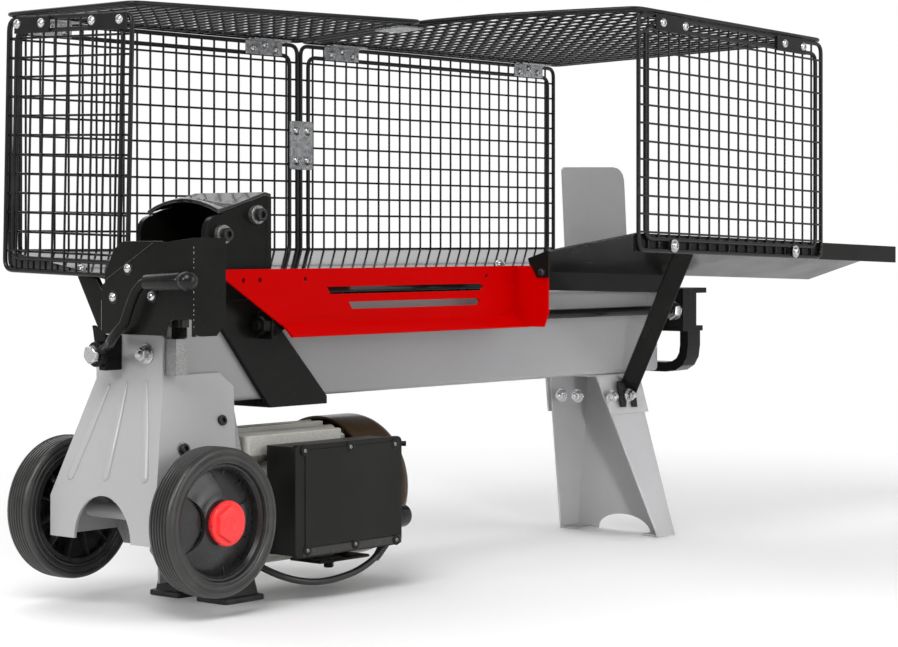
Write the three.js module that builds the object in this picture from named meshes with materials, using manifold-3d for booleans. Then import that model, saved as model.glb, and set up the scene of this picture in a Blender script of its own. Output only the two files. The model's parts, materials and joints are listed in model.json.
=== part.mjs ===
// Horizontal electric log splitter with a wire guard cage.
// Millimetres, +Z up. X runs along the beam from the pusher end (axle at 0) to the wedge end,
// Y runs from the operator's side to the back (beam centre at 0), and Z is 0 on the floor.

import * as THREE from 'three';
import { mergeVertices } from 'three/addons/utils/BufferGeometryUtils.js';
import { ConvexGeometry } from 'three/addons/geometries/ConvexGeometry.js';
import Module from 'manifold-3d';

const wasm = await Module();
wasm.setup();

// ---------------------------------------------------------------- driving sizes

const clearance = 0.3;          // between pieces that rest on or pass through each other
const slideGap = 0.5;           // between the ram and the beam it slides on
const roundSides = 20;          // facets of a turned piece

const beam = { length: 794, width: 90, height: 102, wall: 4, underside: 201, cornerRadius: 6 };
const endCap = { thickness: 22.7, bossLength: 29 };
const cylinder = { start: 300, bore: 48, wall: 3.5, baseWall: 12, portRadius: 4, axisAboveBeamBottom: 70 };
const piston = { start: 320, length: 30 };
const pistonRod = { radius: 13, threadRadius: 10, nutRadius: 14, nutLength: 15 };
const stroke = 390;

const valveBlock = { thickness: 11.4, plugDepth: 18, lobeReach: 64, lobeLength: 3, lobeBottom: 231.3,
  lobeTop: 267 };
const bleedKnob = { x: -2, y: -58, radius: 9.5, height: 19 };
const feedPipeRadius = 6;

const leg = {
  sheet: 3, faceTopX: -15, faceLowX: -50, rearX: 79, rearLean: 0.2, flareTop: 225, flareBottom: 110,
  lowHalfWidth: 77, neckTop: 270, neckChamfer: 8, sideTop: 231, sideChamfer: 14, bottom: 70,
  archHalfWidth: 41, archHeight: 44, ribCount: 3, ribTopSpread: 26, ribLowSpread: 48, ribRadius: 5,
};
const stand = { sheet: 3, webY: 34.5, startX: 45, footX: 56, topEndX: 76, flangeX: 96, endX: 111, seat: 14,
  low: 34 };
const foot = { x: 90, length: 56, width: 45, flange: 5.5, blockLength: 48, blockWidth: 32, taper: 3,
  height: 24 };

const wheelSides = 22;
const wheel = { diameter: 145, width: 31, floorGap: 20, centreY: 104 };
const tyre = { depth: 16.5, shoulder: 4, grooveCount: 2, grooveWidth: 4, grooveDepth: 2 };
const hub = { rimWall: 5, discWall: 4, discInset: 7, bossRadius: 19, vaneCount: 5 };
const hubCap = { flangeRadius: 21, flangeWall: 5, hexRadius: 16, hexHeight: 8 };
const axle = { radius: 8, endSetBack: 4 };

const rearLeg = {
  sheet: 3, topFrontX: beam.length - 91, topRearX: beam.length - 12, lowFrontX: beam.length - 19,
  lowRearX: beam.length + 17, topHalfWidth: 37, lowHalfWidth: 76, archHalfWidth: 40, archHeight: 21,
  footLip: 26,
};
const saddle = { sheet: 3, depth: 49, overhang: 4 };

const wedge = {
  tipX: beam.length - 104, rearX: beam.length + 14, height: 150, width: 15, bladeLength: 42, lean: 9,
  cornerRadius: 24,
};
const wedgeBase = { thickness: 6, halfWidth: 54.7, startX: wedge.tipX + 2 };

const bandWall = 6;
const carriage = { topFrontX: 116, topRearX: 46, lowFrontX: 214, lowRearX: 130, floorWall: 8, lugX: 112,
  lugWall: 8 };
const tieRod = { y: 62, radius: 5.5, aboveBeamBottom: 76, nutRadius: 9.8, nutLength: 10 };
const pusher = {
  rearX: 40, faceX: 131, faceWall: 7, sideWall: 7, sideHalfWidth: 51, baseWall: 6, height: 117,
  rearShoulder: 85, rearRadius: 22, valleyX: 64, valleyDrop: 19,
};
const hood = { wall: 4, halfWidth: 52, archHeight: 12, faceRadius: 8, overhang: 8, columns: 9 };
const crosshead = {
  x: beam.length + 35, web: 12, halfWidth: 75, bottom: 250, top: 303.5, flange: 6.5, reach: 43, gusset: 4,
};
const handle = { startX: crosshead.x + 19, width: 27, bar: 12, halfWidth: 69, drop: 52, cornerRadius: 34 };

const guard = {
  x: -48, sheet: 3, width: 127, bottom: 272, top: 365, cornerZ: 319, shoulderY: -70, shoulderZ: 359,
  flangeLength: 42, notchY: -87, notchTop: 288,
};
const carrier = { sheet: 3, innerY: -0.5, outerY: -80, top: 362, footLength: 72, footOuterY: -40 };
const lever = { planeX: -60, rodRadius: 5, hubRadius: 12.5, hubLength: 6 };
const pivotY = 18;
const pivotHeight = 251;
const grip = { radius: 8.5, length: 64 };
const valveShaft = { radius: 4.5, headRadius: 9.8, headLength: 7, depth: 16 };
const bracket = { frontX: -37, sheet: 3, outerY: 10, bottom: 235, top: 270, earY: 30, earTop: 279, lowY: 19 };

const tray = {
  sheet: 2.5, outerY: -76, bottom: 277, top: 334, leftX: 38, cornerX: 122, rightX: 502.5, hangerX: -41.4,
  hangerBottom: 318, lipDrop: 12, lipReach: 15, flangeReach: 44, slotHeight: 7.5,
};
const traySlots = [{ from: 188, to: 436, z: 311 }, { from: 221, to: 430, z: 295 }];
const trayHoles = [68, 91, 156, 446];

const tableSheet = 2.5;
const tableInnerY = 55;
const tableFlangeBottom = 305;
const backTable = { startX: 17, endX: 956, outerY: 222, innerZ: 323, outerZ: 351, skirt: 21, endFlange: 20 };
const wing = { endX: 1149, outerY: 190, innerZ: 329, outerZ: 371, skirt: 21, flangeEnd: 814 };
const wingCorner = { outerX: 569, cutX: 497.2, cutOuterY: 123, cutInnerY: 94, innerX: 549, tabBottom: 319 };
const sagSlope = 0.0285;        // the wing and the cage bay on it droop toward their free end
const strut = { width: 22, depth: 10, sheet: 2.5 };
const wingStrut = { lowX: beam.length - 38, lowZ: 172, highX: beam.length - 122, highY: -182, highZ: 352 };
const backStrut = { startX: 20, thickness: 6, tableInnerY: 88.7, tableOuterY: 122, legLowZ: 214,
  legHighZ: 231, beamZ: 262 };

const cage = {
  top: 598, rod: 5, wire: 3, meshPitch: 100, rodSpacing: 13, cornerRadius: 12, panelOverlap: 21.7,
  seamX: 457, seamGap: 1, endInnerY: 25, frontTop: 620, frontEndX: 961, lidSeamRise: 12,
};
const lidCorner = { x: 484, y: -52 };
const joiner = { sheet: 2.5, width: 38, height: 58, bottom: 447, lidLength: 40, lidFromY: 44, lidToY: 84 };
const clamp = { sheet: 2.2, length: 60, leg: 17 };
const clampStarts = [40, 364, 498, 864];

const motor = {
  startX: 100, endX: 235.7, coreRadius: 64, finRadius: 72, finCount: 26, boreRadius: 45.6, axisZ: 99,
  padHalfHeight: 40,
};
const fanCover = { startX: 228, endX: 312, wall: 2.7, fit: 1, edgeRadius: 12, holeCount: 6, holeRadius: 11,
  holeCircle: 40 };
const rotor = { shaftRadius: 8, startX: 66, endX: 300, coreStart: 115, coreLength: 108, running: 0.6 };
const fan = { startX: 262, length: 22, hubRadius: 14, radius: 62, bladeCount: 7, bladeWall: 3 };
const pump = { startX: 10, endX: 78, waistZ: 115, bottomZ: 60, topHalfWidth: 40, lowHalfWidth: 36,
  flangeX: 84, flangeRadius: 64 };
const switchBox = { startX: 113, endX: 263, backY: -66.3, depth: 39, bottom: 50, top: 159, wall: 3,
  corner: 6 };
const boxCover = { thickness: 6, overhang: 2, panelInset: 11, panelRise: 2 };
const button = { y: -92, z: 73, radius: 12, stemRadius: 8, travel: 4, length: 16 };
const lead = { radius: 3.5, exitX: 247, exitY: -98 };

// ---------------------------------------------------------------- values that follow from them

const beamTop = beam.underside + beam.height;
const beamHalf = beam.width / 2;
const legInnerHalf = beamHalf + clearance;
const legTopHalf = legInnerHalf + leg.sheet;
const axleHeight = wheel.diameter / 2 + wheel.floorGap;
const rodHeight = beam.underside + cylinder.axisAboveBeamBottom;
const tieHeight = beam.underside + tieRod.aboveBeamBottom;
const pusherFloor = beamTop + slideGap;
const pusherTop = pusherFloor + pusher.height - pusher.sideWall;
const bandInner = beamHalf + slideGap;
const bandOuter = bandInner + bandWall;
const wingInnerY = -(tableInnerY + tableSheet);
const panelBackY = backTable.outerY + clearance;
const panelFrontY = -(wing.outerY + clearance);
const panelEndX = backTable.startX - clearance;
const frontPanelBottom = wing.outerZ - cage.panelOverlap;

// ---------------------------------------------------------------- shape helpers

const axisX = new THREE.Vector3(1, 0, 0);
const axisY = new THREE.Vector3(0, 1, 0);
const axisZ = new THREE.Vector3(0, 0, 1);

/** Closed three.js geometry to a solid; a geometry wound inside out is turned the right way. */
function solid(geometry) {
  const bare = geometry.clone();
  bare.deleteAttribute('normal');
  bare.deleteAttribute('uv');
  const merged = mergeVertices(bare, 1e-4);
  const position = merged.attributes.position.array;
  const index = Array.from(merged.index.array);
  let volume = 0;
  const a = new THREE.Vector3();
  const b = new THREE.Vector3();
  const c = new THREE.Vector3();
  for (let i = 0; i < index.length; i += 3) {
    a.fromArray(position, index[i] * 3);
    b.fromArray(position, index[i + 1] * 3);
    c.fromArray(position, index[i + 2] * 3);
    volume += a.dot(b.cross(c));
  }
  if (volume < 0) index.reverse();
  const mesh = new wasm.Mesh({
    numProp: 3,
    vertProperties: new Float32Array(position),
    triVerts: new Uint32Array(index),
  });
  return new wasm.Manifold(mesh);
}

function join(...solids) {
  return solids.flat().reduce((whole, piece) => whole.add(piece));
}

function cut(body, ...tools) {
  return tools.flat().reduce((rest, tool) => rest.subtract(tool), body);
}

function block(x0, x1, y0, y1, z0, z1) {
  const box = new THREE.BoxGeometry(Math.abs(x1 - x0), Math.abs(y1 - y0), Math.abs(z1 - z0));
  return solid(box.translate((x0 + x1) / 2, (y0 + y1) / 2, (z0 + z1) / 2));
}

function outline(points) {
  return new THREE.Shape(points.map(([u, v]) => new THREE.Vector2(u, v)));
}

function extrude(shape, depth, curveSegments = 8) {
  return new THREE.ExtrudeGeometry(shape, { depth, bevelEnabled: false, steps: 1, curveSegments });
}

/** Outline drawn in y and z, swept from x0 to x1. */
function alongX(shape, x0, x1, curveSegments) {
  const basis = new THREE.Matrix4().makeBasis(axisY, axisZ, axisX);
  return solid(extrude(shape, x1 - x0, curveSegments).applyMatrix4(basis).translate(x0, 0, 0));
}

/** Outline drawn in x and z, swept from y0 to y1. */
function alongY(shape, y0, y1, curveSegments) {
  const basis = new THREE.Matrix4().makeBasis(axisX, axisZ, axisY.clone().negate());
  const low = Math.min(y0, y1);
  const high = Math.max(y0, y1);
  return solid(extrude(shape, high - low, curveSegments).applyMatrix4(basis).translate(0, high, 0));
}

/** Outline drawn in x and y, swept from z0 to z1. */
function alongZ(shape, z0, z1, curveSegments) {
  return solid(extrude(shape, z1 - z0, curveSegments).translate(0, 0, z0));
}

/** Round or, with few sides, prismatic bar between two points; it may taper. */
function bar(from, to, radius, sides = roundSides, endRadius = radius) {
  const start = new THREE.Vector3(...from);
  const end = new THREE.Vector3(...to);
  const length = start.distanceTo(end);
  const rod = new THREE.CylinderGeometry(endRadius, radius, length, sides);
  const turn = new THREE.Quaternion().setFromUnitVectors(axisY, end.clone().sub(start).normalize());
  const middle = start.add(end).multiplyScalar(0.5);
  return solid(rod.applyQuaternion(turn).translate(middle.x, middle.y, middle.z));
}

function barX(x0, x1, y, z, radius, sides) {
  return bar([x0, y, z], [x1, y, z], radius, sides);
}

/** Profile of [radius, distance along the axis] pairs turned about a line along Y or X. */
function turned(profile, axis, centre, segments = roundSides) {
  const points = profile.map(([radius, along]) => new THREE.Vector2(radius, along));
  const lathe = new THREE.LatheGeometry(points, segments);
  if (axis === 'x') lathe.applyMatrix4(new THREE.Matrix4().makeBasis(axisY, axisX, axisZ.clone().negate()));
  return solid(lathe.translate(...centre));
}

function hull(points) {
  return solid(new ConvexGeometry(points.map((point) => new THREE.Vector3(...point))));
}

/** Eight corners of a frustum between two level rectangles. */
function frustum(low, high) {
  const corners = [];
  for (const { x0, x1, y0, y1, z } of [low, high]) {
    corners.push([x0, y0, z], [x1, y0, z], [x1, y1, z], [x0, y1, z]);
  }
  return hull(corners);
}

function roundedRectangle(u0, u1, v0, v1, radius) {
  return roundedPolygon([[u0, v0], [u1, v0], [u1, v1], [u0, v1]], radius);
}

/** Convex outline with each corner replaced by a curve that starts at the corner radius. */
function roundedPolygon(corners, radius) {
  const shape = new THREE.Shape();
  corners.forEach((corner, i) => {
    const here = new THREE.Vector2(...corner);
    const before = new THREE.Vector2(...corners[(i + corners.length - 1) % corners.length]);
    const after = new THREE.Vector2(...corners[(i + 1) % corners.length]);
    const enter = here.clone().add(before.sub(here).setLength(radius));
    const leave = here.clone().add(after.sub(here).setLength(radius));
    if (i === 0) shape.moveTo(enter.x, enter.y);
    else shape.lineTo(enter.x, enter.y);
    shape.quadraticCurveTo(here.x, here.y, leave.x, leave.y);
  });
  shape.closePath();
  return shape;
}

/** Moves every side of a convex, anticlockwise outline inward by the same distance. */
function inset(corners, distance) {
  const lines = corners.map((corner, i) => {
    const from = new THREE.Vector2(...corner);
    const along = new THREE.Vector2(...corners[(i + 1) % corners.length]).sub(from).normalize();
    const inward = new THREE.Vector2(-along.y, along.x);
    return { point: from.addScaledVector(inward, distance), along };
  });
  return lines.map((line, i) => {
    const last = lines[(i + lines.length - 1) % lines.length];
    const gap = line.point.clone().sub(last.point);
    const reach = gap.cross(line.along) / last.along.cross(line.along);
    const corner = last.point.clone().addScaledVector(last.along, reach);
    return [corner.x, corner.y];
  });
}

function geometryOf(body) {
  const mesh = body.getMesh();
  const geometry = new THREE.BufferGeometry();
  geometry.setAttribute('position', new THREE.BufferAttribute(new Float32Array(mesh.vertProperties), 3));
  geometry.setIndex(new THREE.BufferAttribute(new Uint32Array(mesh.triVerts), 1));
  return geometry;
}

/** Lifts every point of a body by an amount that depends on where it stands. */
function lifted(body, rise) {
  const geometry = geometryOf(body);
  const position = geometry.attributes.position;
  for (let i = 0; i < position.count; i += 1) {
    position.setZ(i, position.getZ(i) + rise(position.getX(i), position.getY(i)));
  }
  return solid(geometry);
}

// ---------------------------------------------------------------- finishes

const paints = {
  greyPaint: { color: 0xa9abac, roughness: 0.45, metalness: 0.1 },
  blackPaint: { color: 0x161616, roughness: 0.22, metalness: 0.1 },
  redPaint: { color: 0xd80606, roughness: 0.35, metalness: 0.05 },
  steel: { color: 0xb9babb, roughness: 0.3, metalness: 0.9 },
  castMetal: { color: 0x8d8e8c, roughness: 0.6, metalness: 0.7 },
  aluminium: { color: 0xc3c1b8, roughness: 0.45, metalness: 0.8 },
  rubber: { color: 0x2a2a2a, roughness: 0.8, metalness: 0 },
  blackPlastic: { color: 0x1d1d1c, roughness: 0.5, metalness: 0 },
  redPlastic: { color: 0xf02a2e, roughness: 0.4, metalness: 0 },
};

const splitter = new THREE.Group();

function add(name, body, paint) {
  const geometry = geometryOf(body);
  geometry.computeVertexNormals();
  const mesh = new THREE.Mesh(geometry, new THREE.MeshStandardMaterial(paints[paint]));
  mesh.name = name;
  splitter.add(mesh);
}

// ---------------------------------------------------------------- beam, cylinder and ram rod

function oilTankBeam() {
  const section = roundedRectangle(-beamHalf, beamHalf, beam.underside, beamTop, beam.cornerRadius);
  const inner = beamHalf - beam.wall;
  const bore = roundedRectangle(-inner, inner, beam.underside + beam.wall, beamTop - beam.wall, beam.wall);
  section.holes.push(bore);
  return alongX(section, 0, beam.length, 4);
}

function beamEndCap() {
  const start = beam.length + clearance;
  const section = roundedRectangle(-beamHalf, beamHalf, beam.underside, beamTop, beam.cornerRadius);
  const plate = alongX(section, start, start + endCap.thickness, 4);
  const boss = barX(start - endCap.bossLength, start + 1, 0, rodHeight, cylinder.bore / 2 - clearance);
  const bore = barX(start - endCap.bossLength - 1, start + endCap.thickness + 1, 0, rodHeight,
    pistonRod.radius + clearance);
  return cut(join(plate, boss), bore);
}

function hydraulicCylinder() {
  const inner = cylinder.bore / 2;
  const outer = inner + cylinder.wall;
  const end = beam.length - clearance;
  const profile = [
    [cylinder.portRadius, cylinder.start], [outer, cylinder.start], [outer, end], [inner, end],
    [inner, cylinder.start + cylinder.baseWall], [cylinder.portRadius, cylinder.start + cylinder.baseWall],
    [cylinder.portRadius, cylinder.start],
  ];
  return turned(profile, 'x', [0, 0, rodHeight]);
}

function pistonHead() {
  return barX(piston.start, piston.start + piston.length, 0, rodHeight, cylinder.bore / 2 - clearance);
}

function ramRod() {
  const shoulder = crosshead.x - clearance;
  const nutStart = crosshead.x + crosshead.web + clearance;
  const shank = barX(piston.start + piston.length + clearance, shoulder, 0, rodHeight, pistonRod.radius);
  const thread = barX(shoulder - 1, nutStart + pistonRod.nutLength + 3, 0, rodHeight, pistonRod.threadRadius);
  const nut = barX(nutStart, nutStart + pistonRod.nutLength, 0, rodHeight, pistonRod.nutRadius, 6);
  return join(shank, thread, nut);
}

// ---------------------------------------------------------------- valve block on the beam's front end

function frontValveBlock() {
  const face = -clearance - valveBlock.thickness;
  const plate = block(face, -clearance, -beamHalf, beamHalf, beam.underside, beamTop);
  const inner = beamHalf - beam.wall - clearance;
  const plug = roundedRectangle(
    -inner, inner, beam.underside + beam.wall + clearance, beamTop - beam.wall - clearance, beam.wall);
  const spigot = alongX(plug, -clearance - 1, valveBlock.plugDepth, 4);
  const lobeSide = -beamHalf - clearance;
  const lobe = join(
    block(face, valveBlock.lobeLength, -valveBlock.lobeReach, lobeSide, valveBlock.lobeBottom,
      valveBlock.lobeTop),
    block(face, -clearance, lobeSide - 1, -beamHalf + 1, valveBlock.lobeBottom, valveBlock.lobeTop));
  const pipe = barX(valveBlock.plugDepth - 1, cylinder.start - clearance, 0, rodHeight, feedPipeRadius, 12);
  const shaftBore = barX(face - 1, face + valveShaft.depth + clearance, pivotY, pivotHeight,
    valveShaft.radius + clearance);
  return cut(join(plate, spigot, lobe, pipe), shaftBore);
}

function airBleedKnob() {
  const { radius, height } = bleedKnob;
  const profile = [
    [0, 0], [radius, 0], [radius, height * 0.2], [radius * 0.72, height * 0.3], [radius * 0.72,
      height * 0.45],
    [radius * 0.95, height * 0.55], [radius * 0.9, height * 0.8], [radius * 0.55, height], [0, height],
  ];
  const points = profile.map(([r, h]) => new THREE.Vector2(r, h));
  const knob = new THREE.LatheGeometry(points, 16).rotateX(Math.PI / 2);
  return solid(knob.translate(bleedKnob.x, bleedKnob.y, valveBlock.lobeTop + clearance));
}

// ---------------------------------------------------------------- front leg, feet, axle and wheels

const flareSlope = (leg.lowHalfWidth - legTopHalf) / (leg.flareTop - leg.flareBottom);
const faceSlope = (leg.faceTopX - leg.faceLowX) / (leg.flareTop - leg.flareBottom);

/** Outer half width of the front leg at a height on its flare. */
function legHalfWidth(z) {
  return legTopHalf + (leg.flareTop - z) * flareSlope;
}

function legShell(thickness, reach) {
  const top = {
    x0: leg.faceTopX + thickness, x1: leg.rearX + reach, z: leg.flareTop,
    y0: -legTopHalf + thickness, y1: legTopHalf - thickness,
  };
  const low = {
    x0: leg.faceLowX + thickness, x1: leg.rearX + reach, z: leg.flareBottom,
    y0: -leg.lowHalfWidth + thickness, y1: leg.lowHalfWidth - thickness,
  };
  const flare = frustum(low, top);
  const base = block(low.x0, low.x1, low.y0, low.y1, leg.bottom - reach, leg.flareBottom);
  const neck = block(top.x0, top.x1, top.y0, top.y1, leg.flareTop, leg.sideTop + reach);
  return join(flare, base, neck);
}

function frontLeg() {
  const shell = cut(legShell(0, 0), legShell(leg.sheet, 10));
  const neckHalf = legTopHalf;
  const neckShape = outline([
    [-neckHalf, leg.flareTop], [neckHalf, leg.flareTop], [neckHalf, leg.neckTop - leg.neckChamfer],
    [neckHalf - leg.neckChamfer, leg.neckTop], [-neckHalf + 2, leg.neckTop], [-neckHalf, leg.neckTop - 2],
  ]);
  const neck = alongX(neckShape, leg.faceTopX, leg.faceTopX + leg.sheet);
  const ribs = [];
  for (let i = 0; i < leg.ribCount; i += 1) {
    const side = i - (leg.ribCount - 1) / 2;
    const high = leg.flareTop - 10;
    const low = leg.flareBottom + 14;
    const sink = leg.ribRadius * 0.35;
    const from = [leg.faceLowX + (low - leg.flareBottom) * faceSlope + sink, side * leg.ribLowSpread, low];
    const to = [leg.faceTopX - (leg.flareTop - high) * faceSlope + sink, side * leg.ribTopSpread, high];
    ribs.push(bar(from, to, leg.ribRadius, 10, leg.ribRadius * 0.55));
  }
  const inside = legShell(leg.sheet, 10);
  const arch = new THREE.Shape();
  arch.moveTo(-leg.archHalfWidth, 0);
  arch.lineTo(leg.archHalfWidth, 0);
  arch.lineTo(leg.archHalfWidth, leg.bottom);
  arch.absellipse(0, leg.bottom, leg.archHalfWidth, leg.archHeight, 0, Math.PI, false);
  arch.closePath();
  const past = leg.rearX + leg.sheet;
  const shoulder = leg.sideTop - leg.sideChamfer;
  const rearTrim = outline([
    [past, leg.sideTop + leg.sheet], [leg.rearX - leg.sideChamfer * 1.5, leg.sideTop + leg.sheet],
    [leg.rearX, shoulder], [leg.rearX - leg.rearLean * shoulder, 0], [past, 0],
  ]);
  const axleHole = bar([0, -wheel.centreY, axleHeight], [0, wheel.centreY, axleHeight],
    axle.radius + clearance);
  const shaftHole = barX(leg.faceTopX - 5, leg.faceTopX + 10, pivotY, pivotHeight,
    valveShaft.radius + clearance);
  const body = join(shell, neck, ribs.map((rib) => cut(rib, inside)));
  return cut(
    body, alongX(arch, leg.faceLowX - 20, leg.faceLowX + 30, 16), alongY(rearTrim, -wheel.centreY,
      wheel.centreY),
    axleHole, shaftHole);
}

/** Folded channel under the pump, which carries the two rubber feet. */
function footStand() {
  const top = pump.bottomZ - clearance;
  const half = stand.webY + stand.sheet / 2;
  const web = outline([
    [stand.startX, top], [stand.topEndX, top], [stand.topEndX + 4, top - 16], [stand.flangeX, stand.low],
    [stand.endX, stand.low], [stand.endX, stand.seat], [stand.footX, stand.seat], [stand.footX, stand.low],
    [stand.startX, top - 12],
  ]);
  return join(
    block(stand.startX, stand.topEndX, -half, half, top - stand.sheet, top),
    alongY(web, -half, -half + stand.sheet),
    alongY(web, half - stand.sheet, half));
}

function rubberFoot(side) {
  const middle = side * stand.webY;
  const half = foot.width / 2;
  const blockX = foot.blockLength / 2;
  const blockY = foot.blockWidth / 2;
  const flange = roundedRectangle(foot.x - foot.length / 2, foot.x + foot.length / 2, middle - half,
    middle + half, 5);
  const shoe = frustum(
    { x0: foot.x - blockX, x1: foot.x + blockX, y0: middle - blockY, y1: middle + blockY,
      z: foot.flange - 0.5 },
    { x0: foot.x - blockX + foot.taper, x1: foot.x + blockX - foot.taper,
      y0: middle - blockY + foot.taper, y1: middle + blockY - foot.taper, z: foot.height });
  const slotHalf = stand.sheet / 2 + clearance;
  const slot = block(
    foot.x - foot.length, foot.x + foot.length, middle - slotHalf, middle + slotHalf,
    stand.seat - clearance, foot.height + 1);
  return cut(join(alongZ(flange, 0, foot.flange, 2), shoe), slot);
}

function wheelAxle() {
  const end = wheel.centreY + wheel.width / 2 - axle.endSetBack;
  return bar([0, -end, axleHeight], [0, end, axleHeight], axle.radius);
}

function tyreRing(side) {
  const outer = wheel.diameter / 2;
  const inner = outer - tyre.depth;
  const half = wheel.width / 2;
  const flat = half - tyre.shoulder;
  const profile = [[inner, -half], [outer - 4, -half], [outer, -flat]];
  for (let i = 0; i < tyre.grooveCount; i += 1) {
    const middle = (i + 1) * (2 * flat) / (tyre.grooveCount + 1) - flat;
    profile.push([outer, middle - tyre.grooveWidth / 2], [outer - tyre.grooveDepth, middle]);
    profile.push([outer, middle + tyre.grooveWidth / 2]);
  }
  profile.push([outer, flat], [outer - 4, half], [inner, half], [inner, -half]);
  return turned(profile, 'y', [0, side * wheel.centreY, axleHeight], wheelSides);
}

function wheelHub(side) {
  const rim = wheel.diameter / 2 - tyre.depth - clearance;
  const rimInner = rim - hub.rimWall;
  const half = wheel.width / 2 - 2;
  const outerFace = half - hub.discInset;
  const innerFace = outerFace - hub.discWall;
  const bore = axle.radius + clearance;
  const profile = [
    [bore, -half], [hub.bossRadius, -half], [hub.bossRadius, innerFace], [rimInner, innerFace], [rimInner,
      -half],
    [rim, -half], [rim, half], [rimInner, half], [rimInner - 4, outerFace], [hub.bossRadius, outerFace],
    [hub.bossRadius, half - 2], [bore, half - 2], [bore, -half],
  ];
  const pieces = [turned(profile.map(([r, y]) => [r, y * side]), 'y', [0, 0, 0], wheelSides)];
  for (let i = 0; i < hub.vaneCount; i += 1) {
    const vane = new THREE.Shape();
    vane.absarc(rimInner * 0.62, 0, rimInner * 0.34, 0.35 * Math.PI, 1.5 * Math.PI, false);
    vane.absarc(rimInner * 0.66, 0, rimInner * 0.27, 1.5 * Math.PI, 0.35 * Math.PI, true);
    vane.closePath();
    const raised = extrude(vane, hub.discInset * 0.6, 3).rotateX(-side * Math.PI / 2);
    raised.rotateY(i * 2 * Math.PI / hub.vaneCount).translate(0, side * (outerFace - 0.5), 0);
    pieces.push(solid(raised));
  }
  return join(pieces).translate([0, side * wheel.centreY, axleHeight]);
}

function wheelCap(side) {
  const face = wheel.centreY + wheel.width / 2 - 4 + clearance;
  const rise = face + hubCap.flangeWall;
  const disc = bar([0, side * face, axleHeight], [0, side * rise, axleHeight], hubCap.flangeRadius);
  const hex = bar([0, side * (rise - 1), axleHeight], [0, side * (rise + hubCap.hexHeight), axleHeight],
    hubCap.hexRadius + 2, 6, hubCap.hexRadius);
  const boss = bar([0, side * rise, axleHeight], [0, side * (rise + hubCap.hexHeight + 1.5), axleHeight], 6,
    16);
  return join(disc, hex, boss);
}

// ---------------------------------------------------------------- rear leg and its saddle

const saddleTop = beam.underside - clearance;
const rearLegTop = saddleTop - saddle.sheet - clearance;

/** Outer half width of the rear leg at a height. */
function rearHalfWidth(z) {
  return rearLeg.topHalfWidth + (rearLegTop - z) / rearLegTop * (rearLeg.lowHalfWidth - rearLeg.topHalfWidth);
}

function rearEdgeX(z, topX, lowX) {
  return topX + (rearLegTop - z) / rearLegTop * (lowX - topX);
}

function rearSlice(z, grow, frontExtra, rearExtra) {
  const half = rearHalfWidth(z) + grow;
  return {
    x0: rearEdgeX(z, rearLeg.topFrontX, rearLeg.lowFrontX) - frontExtra,
    x1: rearEdgeX(z, rearLeg.topRearX, rearLeg.lowRearX) + rearExtra,
    y0: -half, y1: half, z,
  };
}

function rearLegSheet() {
  const outer = frustum(rearSlice(0, 0, 0, 0), rearSlice(rearLegTop, 0, 0, 0));
  const inner = frustum(
    rearSlice(-1, -rearLeg.sheet, 20, -rearLeg.sheet), rearSlice(rearLegTop + 1, -rearLeg.sheet, 20,
      -rearLeg.sheet));
  const arch = new THREE.Shape();
  arch.absellipse(0, 0, rearLeg.archHalfWidth, rearLeg.archHeight, 0, 2 * Math.PI, false);
  const lips = [-1, 1].map((side) => {
    const edge = rearLeg.lowHalfWidth - 1.5;
    return block(rearLeg.lowFrontX + 4, rearLeg.lowRearX - 1, side * edge, side * (edge - rearLeg.footLip),
      0, rearLeg.sheet);
  });
  const archCut = alongX(arch, rearLeg.lowRearX - 20, rearLeg.lowRearX + 10, 16);
  return join(cut(outer, inner, archCut), lips);
}

function rearSaddle() {
  const grow = clearance + saddle.sheet;
  const bottom = saddleTop - saddle.depth;
  const outer = frustum(
    rearSlice(bottom, grow, saddle.overhang, saddle.overhang), rearSlice(saddleTop, grow, saddle.overhang,
      saddle.overhang));
  const ceiling = saddleTop - saddle.sheet;
  const inner = frustum(rearSlice(bottom - 1, clearance, 30, 30), rearSlice(ceiling, clearance, 30, 30));
  return cut(outer, inner);
}

// ---------------------------------------------------------------- wedge

function splittingWedge() {
  const floor = beamTop + clearance;
  const bladeFloor = floor + wedgeBase.thickness - 1;
  const top = floor + wedge.height - clearance;
  const base = block(wedgeBase.startX, wedge.rearX, -wedgeBase.halfWidth, wedgeBase.halfWidth, floor,
    floor + wedgeBase.thickness);
  const side = new THREE.Shape();
  side.moveTo(wedge.tipX + 3, bladeFloor);
  side.lineTo(wedge.rearX, bladeFloor);
  side.lineTo(wedge.rearX - wedge.lean, top - wedge.cornerRadius);
  side.quadraticCurveTo(wedge.rearX - wedge.lean, top, wedge.rearX - wedge.lean - wedge.cornerRadius, top);
  side.lineTo(wedge.tipX - wedge.lean + 4, top - 2);
  side.lineTo(wedge.tipX - wedge.lean, top - 5);
  side.closePath();
  const half = wedge.width / 2;
  const start = wedge.tipX - wedge.lean - 2;
  const plan = outline([
    [start, -0.6], [start + wedge.bladeLength, -half], [wedge.rearX + 5, -half],
    [wedge.rearX + 5, half], [start + wedge.bladeLength, half], [start, 0.6],
  ]);
  const blade = alongY(side, -half - 5, half + 5, 5).intersect(alongZ(plan, bladeFloor - 5, top + 5));
  return join(base, blade);
}

// ---------------------------------------------------------------- ram: carriage, tie rods, pusher, crosshead

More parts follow.
